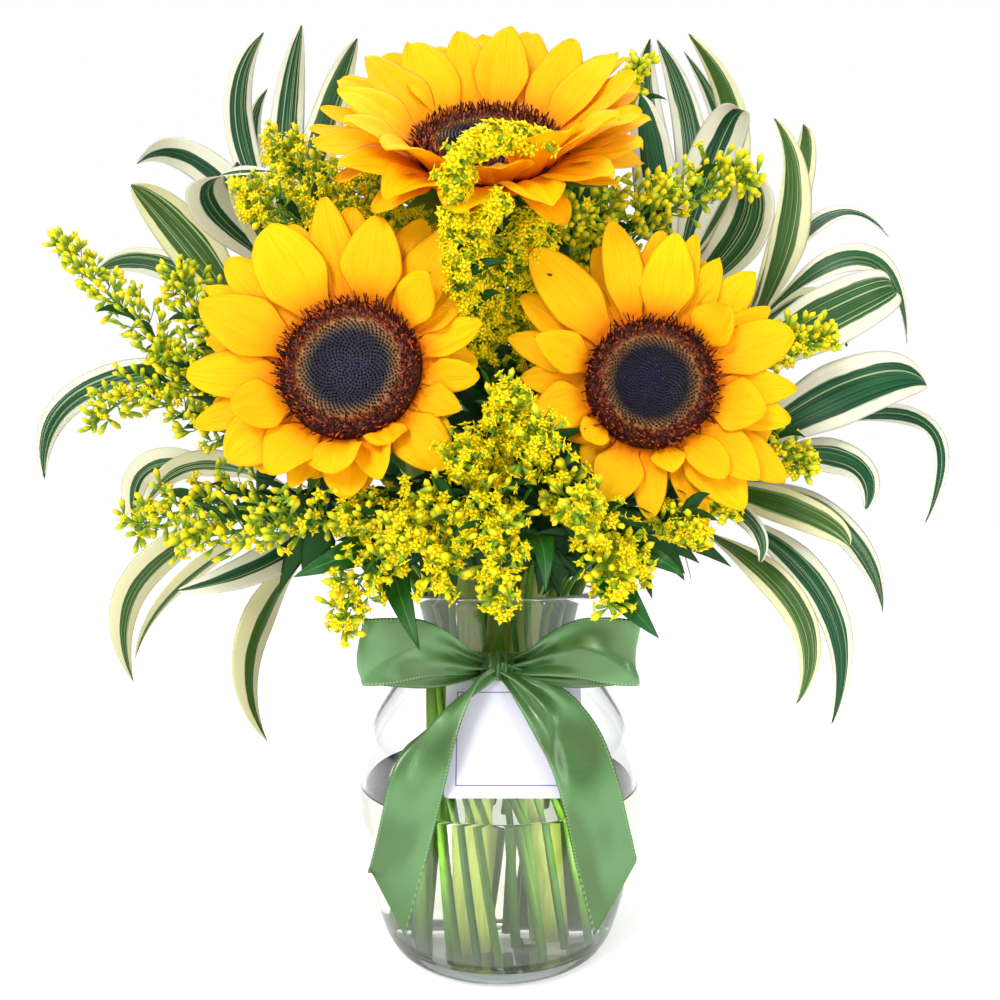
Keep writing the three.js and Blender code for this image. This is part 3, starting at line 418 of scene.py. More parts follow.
def skin(rings, first=None, last=None):
    """Quads through rings (n, m, 3), closed at each end by a fan to a point: the ring's middle, or the one
    given."""
    n, m = rings.shape[:2]
    grid = np.arange(n * m).reshape(n, m)
    after = np.roll(grid, -1, axis=1)
    quads = np.stack([grid[:-1], after[:-1], after[1:], grid[1:]], -1).reshape(-1, 4)
    ends = [rings[0].mean(0) if first is None else first, rings[-1].mean(0) if last is None else last]
    fans = np.concatenate([
        np.stack([np.full(m, n * m), after[0], grid[0]], -1),
        np.stack([np.full(m, n * m + 1), grid[-1], after[-1]], -1),
    ])
    points = np.vstack([rings.reshape(-1, 3), ends])
    return points, outward(points, [quads, fans])


def hoop(rings):
    """Quads through rings (n, m, 3) that close on themselves both ways, as on a torus."""
    n, m = rings.shape[:2]
    grid = np.arange(n * m).reshape(n, m)
    after, below = np.roll(grid, -1, axis=1), np.roll(grid, -1, axis=0)
    quads = np.stack([grid, after, np.roll(after, -1, axis=0), below], -1).reshape(-1, 4)
    points = rings.reshape(-1, 3)
    return points, outward(points, [quads])


def lathe(profile, sides):
    """Rings of a profile of (radius, height) turned about Z."""
    angle = np.arange(sides) * 2 * np.pi / sides
    r, z = np.asarray(profile, float).T
    heights = np.repeat(z[:, None], sides, 1)
    return np.stack([np.outer(r, np.cos(angle)), np.outer(r, np.sin(angle)), heights], -1)


def tube(pile, points, radius, sides, marks, ribs=0):
    """Round tube along points. Its radius runs from one end's to the other's and its frame doesn't twist.
    Its foot is cut level where it would go into the vase's floor."""
    n = len(points)
    heading = unit(np.gradient(points, axis=0))
    across = np.empty_like(points)
    last = np.array([1.0, 0.0, 0.0])
    for i in range(n):
        last = unit(last - (last @ heading[i]) * heading[i])
        across[i] = last
    up = np.cross(heading, across)
    angle = np.arange(sides) * 2 * np.pi / sides
    r = np.linspace(*radius, n)[:, None] * (1 + ribs * np.cos(angle * sides / 2))[None]
    rings = points[:, None] + r[..., None] * (
        across[:, None] * np.cos(angle)[None, :, None] + up[:, None] * np.sin(angle)[None, :, None]
    )
    rings[0, :, 2] = np.maximum(rings[0, :, 2], FOOT_Z)
    pile.add(*skin(rings), marks)


# The share of its half width that a blade has at each share of its length.
OUTLINES = {
    "strap": lambda s: (0.34 + 0.66 * smooth(0, 0.42, s)) * (1 - s**3.2) ** 0.85,
    "petal": lambda s: (0.46 + 0.54 * smooth(0, 0.42, s)) * (1 - s**4.0) ** 0.74,
    "pointed": lambda s: (0.44 + 0.56 * smooth(0, 0.42, s)) * (1 - s**2.7) ** 0.8,
    "bract": lambda s: (0.8 + 0.2 * smooth(0, 0.3, s)) * (1 - s**1.6),
    "lens": lambda s: (0.16 + 0.84 * smooth(0, 0.42, s)) * (1 - s**2.2),
}


def two_faces(middle, shift, a, along, tone):
    """Rings round a sheet whose faces stand one shift above and below its middle, and their marks: the
    place across from -1 to 1, the place along and the tone."""
    rings = np.concatenate([middle + shift, (middle - shift)[:, -2:0:-1]], 1)
    marks = np.empty((*rings.shape[:2], 3))
    marks[..., 0] = np.concatenate([a, a[-2:0:-1]])
    marks[..., 1] = along[:, None]
    marks[..., 2] = tone
    return rings, marks


def blade(
    pile, curve, side, width, outline, tone, cup,
    roll=0, thickness=0.6, columns=9, rows=26, wave=None, kind=None,
):
    """Thin closed blade along a curve, which is the root, crown and tip of a bend. At share s and place a
    across, from -1 to 1, it stands half the width times a out, and half the width times cup(s, a), plus
    wave(s, a), up. Its two faces are sqrt(1 - a^2) of the thickness apart. A kind takes the place of its
    first mark."""
    s = 1 - (1 - np.linspace(0, 1, rows)) ** 1.15
    centre, heading = bend(*curve, s)
    side = np.broadcast_to(side, centre.shape)
    across = unit(side - (side * heading).sum(-1, keepdims=True) * heading)
    across = turned(across, heading, np.radians(roll) * smooth(0, 0.5, s))
    up = unit(np.cross(across, heading))
    even = np.linspace(-1, 1, columns)
    a = 0.5 * np.sin(even * np.pi / 2) + 0.5 * even
    half = (width / 2 * OUTLINES[outline](s))[:, None]
    height = cup(s[:, None], a[None]) * half
    if wave is not None:
        height = height + wave(s[:, None], a[None])
    thick = thickness / 2 * (1 - 0.35 * s)[:, None] * np.sqrt(1 - a**2)[None]
    middle = centre[:, None] + (half * a)[..., None] * across[:, None] + height[..., None] * up[:, None]
    rings, marks = two_faces(middle, thick[..., None] * up[:, None], a, s, tone)
    marks = np.vstack([marks[:-1].reshape(-1, 3), [[0, 0, tone], [0, 1, tone]]])
    if kind is not None:
        marks[:, 0] = kind
    pile.add(*skin(rings[:-1], last=centre[-1]), marks)


def turned_shape(profile, sides, low, high):
    """A small closed shape turned about Z, with its ends' points at heights low and high."""
    return skin(lathe(profile, sides), (0, 0, low), (0, 0, high))


def scatter(pile, shape, places, frames, kinds, tones):
    """Copies of one small shape, each turned and sized by its 3 x 3 frame (axes as columns) and put at its
    place. kinds is one number, a column of one for each copy or a row of one for each vertex."""
    points, polygons = shape
    n, k = len(places), len(points)
    moved = np.einsum("nij,kj->nki", frames, points) + places[:, None]
    offset = (np.arange(n) * k)[:, None, None]
    marks = np.empty((n, k, 3))
    marks[..., 0] = kinds
    marks[..., 1] = points[:, 2]
    marks[..., 2] = tones[:, None]
    copies = [(polygon[None] + offset).reshape(-1, polygon.shape[1]) for polygon in polygons]
    pile.add(moved.reshape(-1, 3), copies, marks.reshape(-1, 3))


def frames_along(axis, draw, sizes, heights):
    """Frames whose z axis points along axis, with a random turn about it. Their columns are sizes long
    across and heights long along the axis."""
    z = unit(axis)
    helper = unit(draw.normal(size=z.shape))
    x = unit(np.cross(helper, z))
    y = np.cross(z, x)
    return np.stack([x * sizes[:, None], y * sizes[:, None], z * heights[:, None]], -1)


def twigs(pile, starts, ends, radius, kind, tones):
    """Thin three-sided prisms from starts to ends."""
    along = ends - starts
    z = unit(along)
    x = unit(np.cross(z, np.array([0.3, 0.7, 0.2])))
    y = np.cross(z, x)
    frames = np.stack([x * radius, y * radius, along], -1)
    scatter(pile, TWIG, starts, frames, kind, tones)


def star_shape():
    """An open floret, with a radius of about 1, and the kind of each of its vertices: a cup on a stalk, a
    knob and five rays that rise a little."""
    shapes = [turned_shape([(0.36, -0.4)], 5, -2.2, 0.1), turned_shape([(0.36, 0.1)], 5, -0.1, 0.45)]
    ray = np.array([[0.34, -0.34, 0.16], [0.34, 0.34, 0.16], [1.0, 0, 0.22], [0.4, 0, -0.12]])
    wedge = [np.array([[0, 2, 1], [0, 3, 2], [1, 2, 3], [0, 1, 3]])]
    for k in range(5):
        c, s = math.cos(k * math.tau / 5), math.sin(k * math.tau / 5)
        spun = np.stack([ray[:, 0] * c - ray[:, 1] * s, ray[:, 0] * s + ray[:, 1] * c, ray[:, 2]], -1)
        shapes.append((spun, outward(spun, wedge)))
    polygons, count = [], 0
    for points, own in shapes:
        polygons += [polygon + count for polygon in own]
        count += len(points)
    kinds = [np.full(len(points), kind) for (points, _), kind in zip(shapes, (0.3, 0.7, 1, 1, 1, 1, 1))]
    return (np.vstack([points for points, _ in shapes]), polygons), np.concatenate(kinds)


TWIG = turned_shape([(1, 0), (0.7, 1)], 3, 0, 1)
BUD = turned_shape([(0.8, 0.3), (0.92, 1.7)], 5, -2.2, 2.7)
KNOB = turned_shape([(1, 0), (0.8, 0.7)], 6, 0, 1)
SPIKE = turned_shape([(0.6, 0), (0.4, 0.45), (0.6, 0.78)], 5, 0, 1)
STAR, STAR_KINDS = star_shape()


# Materials


def rgb(red, green, blue):
    """A screen colour, 0 to 255, as linear light."""
    c = np.array([red, green, blue]) / 255
    return (*np.where(c <= 0.04045, c / 12.92, ((c + 0.055) / 1.055) ** 2.4).tolist(), 1)


class Nodes:
    """Short calls for the nodes of one tree."""

    def __init__(self, tree):
        self.tree = tree

    def node(self, kind, inputs=(), **settings):
        made = self.tree.nodes.new(kind)
        for key, value in settings.items():
            setattr(made, key, value)
        for slot, value in dict(inputs).items():
            self.put(made.inputs[slot], value)
        return made

    def put(self, socket, value):
        """Links a socket to another, or gives it a plain value."""
        if isinstance(value, bpy.types.NodeSocket):
            self.tree.links.new(value, socket)
        else:
            socket.default_value = value

    def math(self, operation, a, b=0.0):
        return self.node("ShaderNodeMath", {0: a, 1: b}, operation=operation).outputs[0]

    def plus(self, a, b):
        return self.math("ADD", a, b)

    def minus(self, a, b):
        return self.math("SUBTRACT", a, b)

    def times(self, a, b):
        return self.math("MULTIPLY", a, b)

    def size(self, a):
        return self.math("ABSOLUTE", a)

    def split(self, vector):
        """The three parts of a vector."""
        return tuple(self.node("ShaderNodeSeparateXYZ", {0: vector}).outputs)

    def step(self, low, high, value):
        """Smooth step of a value between low and high."""
        ends = {"Value": value, "From Min": low, "From Max": high}
        return self.node("ShaderNodeMapRange", ends, interpolation_type="SMOOTHSTEP").outputs["Result"]


class Finish(Nodes):
    """One material with a principled shader. Its sockets' names have _ for a space."""

    def __init__(self, name, **sockets):
        self.material = bpy.data.materials.new(name)
        self.material.use_nodes = True
        super().__init__(self.material.node_tree)
        self.shader = self.tree.nodes["Principled BSDF"]
        self.set(**sockets)

    def set(self, **sockets):
        for socket, value in sockets.items():
            self.put(self.shader.inputs[socket.replace("_", " ")], value)

    def marked(self):
        """The marks of a vertex as one vector."""
        return self.node("ShaderNodeAttribute", attribute_name="marks").outputs["Vector"]

    def marks(self):
        """The three marks of a vertex as sockets."""
        return self.split(self.marked())

    def place(self):
        """Object coordinates, in metres."""
        return self.node("ShaderNodeTexCoord").outputs["Object"]

    def ramp(self, factor, stops):
        made = self.node("ShaderNodeValToRGB", {"Fac": factor})
        elements = made.color_ramp.elements
        while len(elements) < len(stops):
            elements.new(1)
        for element, (position, colour) in zip(elements, stops):
            element.position = position
            element.color = colour
        return made.outputs["Color"]

    def mix(self, factor, a, b):
        return self.node("ShaderNodeMix", {0: factor, 6: a, 7: b}, data_type="RGBA").outputs[2]

    def layer(self, base, colour, mask, strength):
        """The base with a colour laid over it where the mask is 1, as strongly as the strength says."""
        return self.mix(self.times(mask, strength), base, colour)

    def noise(self, vector, scale, detail):
        inputs = {"Vector": vector, "Scale": scale, "Detail": detail}
        return self.node("ShaderNodeTexNoise", inputs).outputs["Fac"]

    def fibre(self, stretch, scale, detail):
        """Noise over the marks, each multiplied by its own stretch."""
        stretched = self.node("ShaderNodeVectorMath", {0: self.marked(), 1: stretch}, operation="MULTIPLY")
        return self.noise(stretched.outputs[0], scale, detail)

    def bump(self, height, strength, distance):
        made = self.node("ShaderNodeBump", {"Strength": strength, "Distance": distance, "Height": height})
        self.set(Normal=made.outputs["Normal"])


def petal_finish():
    """Soft saturated yellow with fine lengthwise veins, orange at the base and along the folds."""
    f = Finish(
        "petal", Roughness=0.62, Specular_IOR_Level=0.12,
        Subsurface_Weight=0.1, Subsurface_Scale=0.003, Subsurface_Radius=(1.0, 0.6, 0.1),
    )
    _, along, tone = f.marks()
    base = f.ramp(along, [
        (0, rgb(226, 92, 0)), (0.12, rgb(250, 148, 0)), (0.34, rgb(255, 186, 0)), (1, rgb(255, 202, 0)),
    ])
    veins = f.fibre((9.0, 1.2, 1.0), 1.6, 3.0)
    warm = f.layer(base, rgb(255, 156, 0), f.step(0.42, 0.72, veins), 0.4)
    f.set(Base_Color=f.layer(warm, rgb(255, 150, 0), f.math("FRACT", f.times(tone, 7.3)), 0.35))
    f.bump(veins, 0.5, 0.0008)
    return f.material


def disc_finish():
    """Purple-black middle with a few painted highlights, gold-brown netted ring and dark red florets with
    orange glints, by the share of the disc's radius."""
    f = Finish("disc", Roughness=0.55, Specular_IOR_Level=0.35)
    share, height, tone = f.marks()
    crown = f.ramp(share, [
        (0, rgb(42, 32, 88)), (0.34, rgb(30, 22, 60)), (0.55, rgb(22, 15, 34)), (0.64, rgb(34, 20, 26)),
        (0.72, rgb(40, 14, 10)), (0.8, rgb(46, 9, 5)), (1, rgb(44, 6, 4)),
    ])
    foot = f.ramp(share, [
        (0, rgb(8, 5, 18)), (0.53, rgb(18, 12, 24)), (0.62, rgb(112, 80, 46)), (0.71, rgb(164, 108, 48)),
        (0.77, rgb(110, 40, 8)), (0.9, rgb(80, 18, 4)), (1, rgb(56, 10, 4)),
    ])
    colour = f.mix(f.step(0.25, 0.75, height), foot, crown)
    glint = f.times(f.step(0.45, 0.8, tone), f.step(0.68, 0.76, share))
    colour = f.layer(colour, rgb(186, 78, 12), glint, f.step(0.2, 0.7, height))
    # Painted highlights: pale violet dots on a few florets in the middle of the disc.
    painted_highlight = f.times(f.step(0.9, 0.99, tone), f.step(0.5, 0.3, share))
    f.set(Base_Color=f.layer(colour, rgb(112, 102, 170), painted_highlight, 0.22))
    return f.material


def stem_finish():
    """Pale green stem, of tone 0, and green bracts, of tone 1, with fine lengthwise streaks."""
    f = Finish("stem", Roughness=0.55, Specular_IOR_Level=0.3)
    stretched = f.node("ShaderNodeMapping", {"Vector": f.place(), "Scale": (900.0, 900.0, 60.0)}).outputs[0]
    streak = f.noise(stretched, 1.0, 3.0)
    body = f.mix(streak, rgb(150, 184, 54), rgb(222, 228, 140))
    leaf = f.mix(streak, rgb(52, 104, 26), rgb(96, 148, 52))
    f.set(Base_Color=f.mix(f.step(0.4, 0.6, f.marks()[2]), body, leaf))
    f.bump(streak, 0.3, 0.0005)
    return f.material


def striped_finish():
    """Dark green leaf with fine pale lines and cream margins that follow its edges. By their tones, some
    leaves are fresher and yellower, and those of low tone have broader margins. The stem's tone is 1."""
    f = Finish(
        "striped_leaf", Roughness=0.42, Specular_IOR_Level=0.3,
        Subsurface_Weight=0.05, Subsurface_Scale=0.003,
    )
    across, _, tone = f.marks()
    streak = f.fibre((26.0, 0.8, 31.0), 1.0, 2.0)
    young = f.step(0.5, 0.95, f.math("FRACT", f.times(tone, 17.0)))
    green = f.mix(f.step(0.35, 0.7, streak), rgb(6, 54, 34), rgb(36, 102, 56))
    green = f.layer(green, f.mix(streak, rgb(26, 66, 8), rgb(84, 122, 28)), young, 0.75)
    green = f.mix(f.step(0.86, 0.96, tone), green, rgb(84, 122, 38))
    lines = f.step(0.64, 0.72, f.fibre((17.0, 0.5, 53.0), 1.0, 0.0))
    green = f.layer(green, rgb(178, 196, 146), lines, 0.75)
    cream = f.mix(streak, rgb(238, 234, 218), rgb(212, 214, 184))
    cream = f.layer(cream, rgb(220, 214, 132), young, 0.55)
    drift = f.minus(f.fibre((1.2, 3.0, 9.0), 1.3, 2.0), 0.5)
    shifted = f.plus(across, f.times(f.minus(tone, 0.5), 0.22))
    edge = f.plus(f.size(shifted), f.times(drift, 0.28))
    broad = f.times(f.step(0.3, 0.26, tone), 0.24)
    f.set(Base_Color=f.mix(f.step(0.56, 0.62, f.plus(edge, broad)), green, cream))
    f.bump(streak, 0.4, 0.0006)
    return f.material


def goldenrod_finish():
    """Colours by kind: dark leaves near 0, green stalks up to 0.14, yellow-green cups and buds from 0.24 to
    0.6, and yellow knobs and rays above. Cups and buds are greener at their stalks."""
    f = Finish("goldenrod", Roughness=0.55, Specular_IOR_Level=0.25)
    kind, height, tone = f.marks()
    # The leaves' dark green near kind 0 is partly their own colour and partly painted shade for the deep
    # gaps between the plumes.
    colour = f.ramp(kind, [
        (0, rgb(14, 56, 18)), (0.05, rgb(34, 88, 24)), (0.12, rgb(92, 140, 30)), (0.3, rgb(198, 208, 28)),
        (0.55, rgb(250, 220, 14)), (0.75, rgb(255, 206, 0)), (1, rgb(255, 242, 0)),
    ])
    blossom = f.step(0.16, 0.2, kind)
    stalk = f.times(f.step(1.5, 0.1, height), f.times(blossom, f.step(0.6, 0.5, kind)))
    fresh = f.layer(colour, rgb(255, 206, 0), tone, 0.3)
    tinted = f.layer(f.mix(blossom, colour, fresh), rgb(112, 158, 36), stalk, 0.85)
    # The blossoms glow faintly in their own colour. This is painted light, which brightens them in the
    # shade inside the plumes.
    f.set(Base_Color=tinted, Emission_Color=tinted, Emission_Strength=f.times(blossom, 0.05))
    return f.material


def ruscus_finish():
    """Glossy dark green leaf with a paler midrib and fine veins, and a fresher green stem, of tone 2."""
    f = Finish("ruscus", Roughness=0.36, Specular_IOR_Level=0.35)
    across, _, tone = f.marks()
    vein = f.fibre((16.0, 1.0, 1.0), 1.0, 2.0)
    green = f.mix(vein, rgb(6, 58, 14), rgb(26, 104, 26))
    leaf = f.layer(green, rgb(96, 150, 70), f.step(0.09, 0.02, f.size(across)), 0.5)
    f.set(Base_Color=f.mix(f.step(1.2, 1.6, tone), leaf, rgb(76, 128, 34)))
    f.bump(vein, 0.3, 0.0005)
    return f.material


def satin_finish():
    """Sage green satin: fine threads across, soft clouds of painted shade and painted sheen, and pale
    stitches by both edges.
    """
    f = Finish(
        "satin", Roughness=0.3, Specular_IOR_Level=1.0, Specular_Tint=rgb(214, 242, 206), Anisotropic=0.5,
        Coat_Weight=0.6, Coat_Roughness=0.2, Coat_Tint=rgb(214, 240, 196),
    )
    across, along, tone = f.marks()
    # Painted shade: soft clouds of dark olive, where the satin's folds would be in shade.
    painted_shade_cloud = f.step(0.25, 0.75, f.fibre((1.0, 0.04, 1.0), 1.1, 0.0))
    # Painted sheen: broad clouds of paler mint that stand for the satin's shine.
    wide = {0: f.times(across, 0.6), 1: f.times(along, 0.03), 2: f.plus(tone, 4.0)}
    painted_sheen = f.noise(f.node("ShaderNodeCombineXYZ", wide).outputs[0], 1.3, 0.0)
    grain = f.fibre((60.0, 3.0, 1.0), 1.0, 2.0)
    body = f.mix(painted_shade_cloud, rgb(56, 78, 24), rgb(60, 96, 44))
    body = f.layer(body, rgb(108, 154, 108), f.step(0.38, 0.66, painted_sheen), 0.6)
    body = f.layer(body, rgb(124, 160, 116), grain, 0.25)
    thread = f.math("SINE", f.times(along, 9.0))
    beat = f.step(-0.3, 0.3, f.math("SINE", f.times(along, 4.5)))
    stitch = f.times(f.step(0.9, 0.94, f.size(across)), beat)
    f.set(Base_Color=f.layer(body, rgb(172, 204, 160), stitch, 0.45))
    height = f.plus(f.times(thread, 0.2), f.times(stitch, 1.5))
    f.bump(f.plus(height, f.times(grain, 0.6)), 0.3, 0.0003)
    return f.material


def card_finish():
    """Smooth white card with a thin violet ruled frame, set in from its edges."""
    f = Finish("card", Roughness=0.6, Specular_IOR_Level=0.3)
    turn = (math.radians(90 - CARD["lean"]), 0, 0)
    inputs = {"Vector": f.place(), "Location": tuple(v * MM for v in CARD["place"]), "Rotation": turn}
    local = f.node("ShaderNodeMapping", inputs, vector_type="TEXTURE").outputs[0]
    half_width, half_height = ((CARD[side] / 2 - CARD["inset"]) * MM for side in ("width", "height"))
    x, y, _ = f.split(local)
    x = f.minus(f.size(x), half_width)
    y = f.minus(f.size(f.plus(y, CARD["height"] / 2 * MM)), half_height)
    line = f.step(0.00032, 0.0002, f.size(f.math("MAXIMUM", x, y)))
    paper = f.mix(f.noise(local, 900.0, 2.0), rgb(226, 224, 242), rgb(236, 234, 248))
    f.set(Base_Color=f.layer(paper, rgb(104, 84, 160), line, 0.85))
    return f.material


def clear_finish(name, ior, colour, tint, density):
    """Clear and polished. Light is lost along its way inside, by (1 - tint) times density a metre, so that
    the edges of the wall, where the way is long, are darker. At the height of the vase's lip less light
    goes through, which makes the lip a pale line."""
    f = Finish(name, Roughness=0.0, IOR=ior, Transmission_Weight=1.0, Base_Color=colour)
    lip = f.step(0.1682, 0.1694, f.split(f.place())[2])
    f.set(Transmission_Weight=f.minus(1.0, f.times(lip, 0.3)))
    inside = f.node("ShaderNodeVolumeAbsorption", {"Color": tint, "Density": density})
    f.put(f.tree.nodes["Material Output"].inputs["Volume"], inside.outputs[0])
    return f.material


# The vase and its water


def wall_profile(offset, heights):
    """Radius of the vase's wall at heights, moved in by offset: a smooth curve through the profile."""
    r, z = np.asarray(VASE_PROFILE, float).T
    t = np.linspace(0, 1, 400)
    curve = through(np.stack([r, z], -1), t)
    along = unit(np.gradient(curve, axis=0))
    moved = np.stack([curve[:, 0] - along[:, 1] * offset, curve[:, 1] + along[:, 0] * offset], -1)
    order = np.argsort(moved[:, 1])
    return np.interp(heights, moved[order, 1], moved[order, 0])


def vase_piece():
    """Glass wall of even thickness with a rounded lip, on a thick foot with a rounded heel."""
    low = [(0.01, 0), (20, 0), (40, 0), (45, 0), (48.2, 0.5), (51.4, 1.8), (53.6, 3.6)]
    up = np.linspace(5, LIP_FOOT, 60)
    outside = np.stack([wall_profile(0, up), up], -1)
    edge = VASE_WALL / 2
    turn = np.radians(np.linspace(20, 160, 8))
    across = wall_profile(edge, LIP_FOOT) + edge * np.cos(turn)
    lip = np.stack([across, VASE_HEIGHT - edge * (1 - np.sin(turn))], -1)
    down = np.linspace(LIP_FOOT, HEEL_TOP, 56)
    inside = np.stack([wall_profile(VASE_WALL, down), down], -1)
    inner = wall_profile(VASE_WALL, HEEL_TOP)
    heel = [
        (inner - 1.2, 11.6), (inner - 3.4, 9.4), (inner - 7, 8.3), (inner - 12, VASE_FLOOR),
        (30, VASE_FLOOR), (12, VASE_FLOOR), (0.01, VASE_FLOOR),
    ]
    pile = Pile()
    pile.add(*skin(lathe(np.vstack([low, outside, lip, inside, heel]), VASE_SIDES)), (0, 0, 0))
    glass = clear_finish("glass", 1.46, (0.99, 0.995, 0.995, 1), (0.72, 0.84, 0.84, 1), 7)
    return pile.piece("vase", glass)


def water_piece():
    """Water up to its level, a hair into the wall so that no air shows between, with a raised rim."""
    into = 0.25
    floor, surface = VASE_FLOOR - into, WATER_LEVEL - 0.5
    heights = np.linspace(HEEL_TOP, WATER_LEVEL - 0.9, 40)
    side = np.stack([wall_profile(VASE_WALL - into, heights), heights], -1)
    inner, brim = wall_profile(VASE_WALL, HEEL_TOP), side[-1, 0]
    heel = [
        (0.01, floor), (30, floor), (inner - 12, floor), (inner - 7, 8.05), (inner - 3.2, 9.2),
        (inner - 1, 11.5),
    ]
    top = [
        (brim, WATER_LEVEL + 0.6), (brim - 0.6, WATER_LEVEL + 0.1), (brim - 1.6, WATER_LEVEL - 0.3),
        (brim - 4, surface), (30, surface), (0.01, surface),
    ]
    pile = Pile()
    pile.add(*skin(lathe(np.vstack([heel, side, top]), VASE_SIDES)), (0, 0, 0))
    clear = clear_finish("water", 1.333, (0.99, 0.995, 0.98, 1), (0.76, 0.8, 0.2, 1), 2.8)
    return pile.piece("water", clear)


# Sunflowers


def head_axes(flower):
    """Columns of a head's own axes: level to the right, up, and the way that it faces."""
    turn, lift = math.radians(flower["turn"]), math.radians(flower["lift"])
    ct, st, cl, sl = math.cos(turn), math.sin(turn), math.cos(lift), math.sin(lift)
    return np.array([[ct, -sl * st, cl * st], [st, sl * ct, -cl * ct], [0, cl, sl]])


def seen_tips(flower, rows, root):
    """Tips on the ray from the eye through each row's place, where the height over the head's plane is
    tan(rise) times the distance past the root ring; found by halving the range of distances."""
    axes = head_axes(flower)
    centre = np.array(flower["centre"], float)
    ray = centre + np.stack([rows[:, 0], 0 * rows[:, 0], rows[:, 1]], -1) - EYE
    near, far = np.full(len(rows), 0.7), np.full(len(rows), 1.3)
    for _ in range(30):
        middle = (near + far) / 2
        local = (EYE + ray * middle[:, None] - centre) @ axes
        past = np.hypot(local[:, 0], local[:, 1]) - root
        over = local[:, 2] - past * np.tan(np.radians(rows[:, 3])) > 0
        near, far = np.where(over, middle, near), np.where(over, far, middle)
    return local


def petal_rows(name, flower):
    """Angle, length, width, rise, bulge and roll of each petal of a head."""
    root = flower["disc"] + 0.8
    if name == "top":
        return np.array(TURNED_PETALS, float), root
    rows = np.array(FACING_PETALS[name], float)
    tips = seen_tips(flower, rows, root)
    angle = np.degrees(np.arctan2(tips[:, 1], tips[:, 0]))
    length = (np.hypot(tips[:, 0], tips[:, 1]) - root) / np.cos(np.radians(rows[:, 3]))
    return np.column_stack([angle, length, rows[:, 2:]]), root


def backing_rows(rows, count, draw):
    """Petals behind the others, evenly round, and nearly as long as those on either side of them."""
    angle = np.arange(count) * 360 / count + draw.uniform(-5, 5, count)
    order = np.argsort(rows[:, 0] % 360)
    near = np.interp(angle, rows[order, 0] % 360, rows[order, 1], period=360)
    length = near * draw.uniform(0.8, 0.95, count)
    rise, width = draw.uniform(-4, 3, count), draw.uniform(17, 22, count)
    return np.column_stack([angle, length, width, rise, np.full(count, 0.06), 0 * angle])


def petals_piece(name, flower, draw, material):
    """Ring of the bloom with its petals: each bends up from the ring, cupped, ribbed and a little wavy."""
    pile = Pile()
    axes, centre = head_axes(flower), np.array(flower["centre"], float)
    disc = flower["disc"]
    ring = [(0.3, -3), (3, -3.2), (4, -1.8), (2.4, -0.6), (0.3, -0.4)]
    points, polygons = hoop(lathe([(disc + out, height) for out, height in ring], 48))
    pile.add(points @ axes.T + centre, polygons, (0, 0, 0.5))
    rows, root = petal_rows(name, flower)
    rows[:, 2] *= PETAL_BREADTH[name]
    rows = np.vstack([rows, backing_rows(rows, BACKING_PETALS[name], draw)])
    for k, (angle, length, width, rise, bulge, roll) in enumerate(rows):
        # A third of the left head's petals and two thirds of the others' have a longer point.
        pointed = k % 3 == 0 if name == "left" else k % 3 > 0
        angle, rise = math.radians(angle), math.radians(rise)
        out = np.array([math.cos(angle), math.sin(angle), 0])
        # The steeper petals grow higher on the ring.
        base = -1.5 + 4 * rise
        start = out * (root + draw.uniform(-1.5, 0.5)) + (0, 0, base)
        way = out * math.cos(rise) + np.array([0, 0, math.sin(rise)])
        tip = start + way * length
        crown = (start + tip) / 2 + np.array([0, 0, bulge * length])
        start, crown, tip = (p @ axes.T + centre for p in (start, crown, tip))
        side = axes @ np.array([out[1], -out[0], 0])
        deep, phase, rib = draw.uniform(0.1, 0.34), draw.uniform(0, 6.3), draw.uniform(0.035, 0.07)
        ruffle, curl = draw.uniform(0.3, 1.3), draw.uniform(-1.5, 2.5)

        def cup(s, a):
            hollow = deep * a**2 * (1 - 0.5 * s) + 0.25 * smooth(0.82, 1, s) * a**2
            ribs = rib * np.cos(a * 3 * np.pi) * np.sin(s * np.pi) ** 0.5
            return hollow + ribs - 0.5 * rib * np.abs(a) ** 0.5

        def wave(s, a):
            edge = ruffle * a**2 * np.sign(a) * np.sin(s * 7 + phase) * smooth(0.1, 0.5, s)
            return edge + curl * smooth(0.6, 1, s) + 0.5 * np.sin(s * 11 + phase) * s * (1 - s)

        blade(
            pile, (start, crown, tip), side, width * (1.06 if pointed else 1),
            "pointed" if pointed else "petal", draw.uniform(0, 1), cup,
            roll=roll + draw.uniform(-6, 6), thickness=0.5, columns=13, rows=22, wave=wave,
        )
    return pile.piece(f"sunflower_{name}_petals", material)


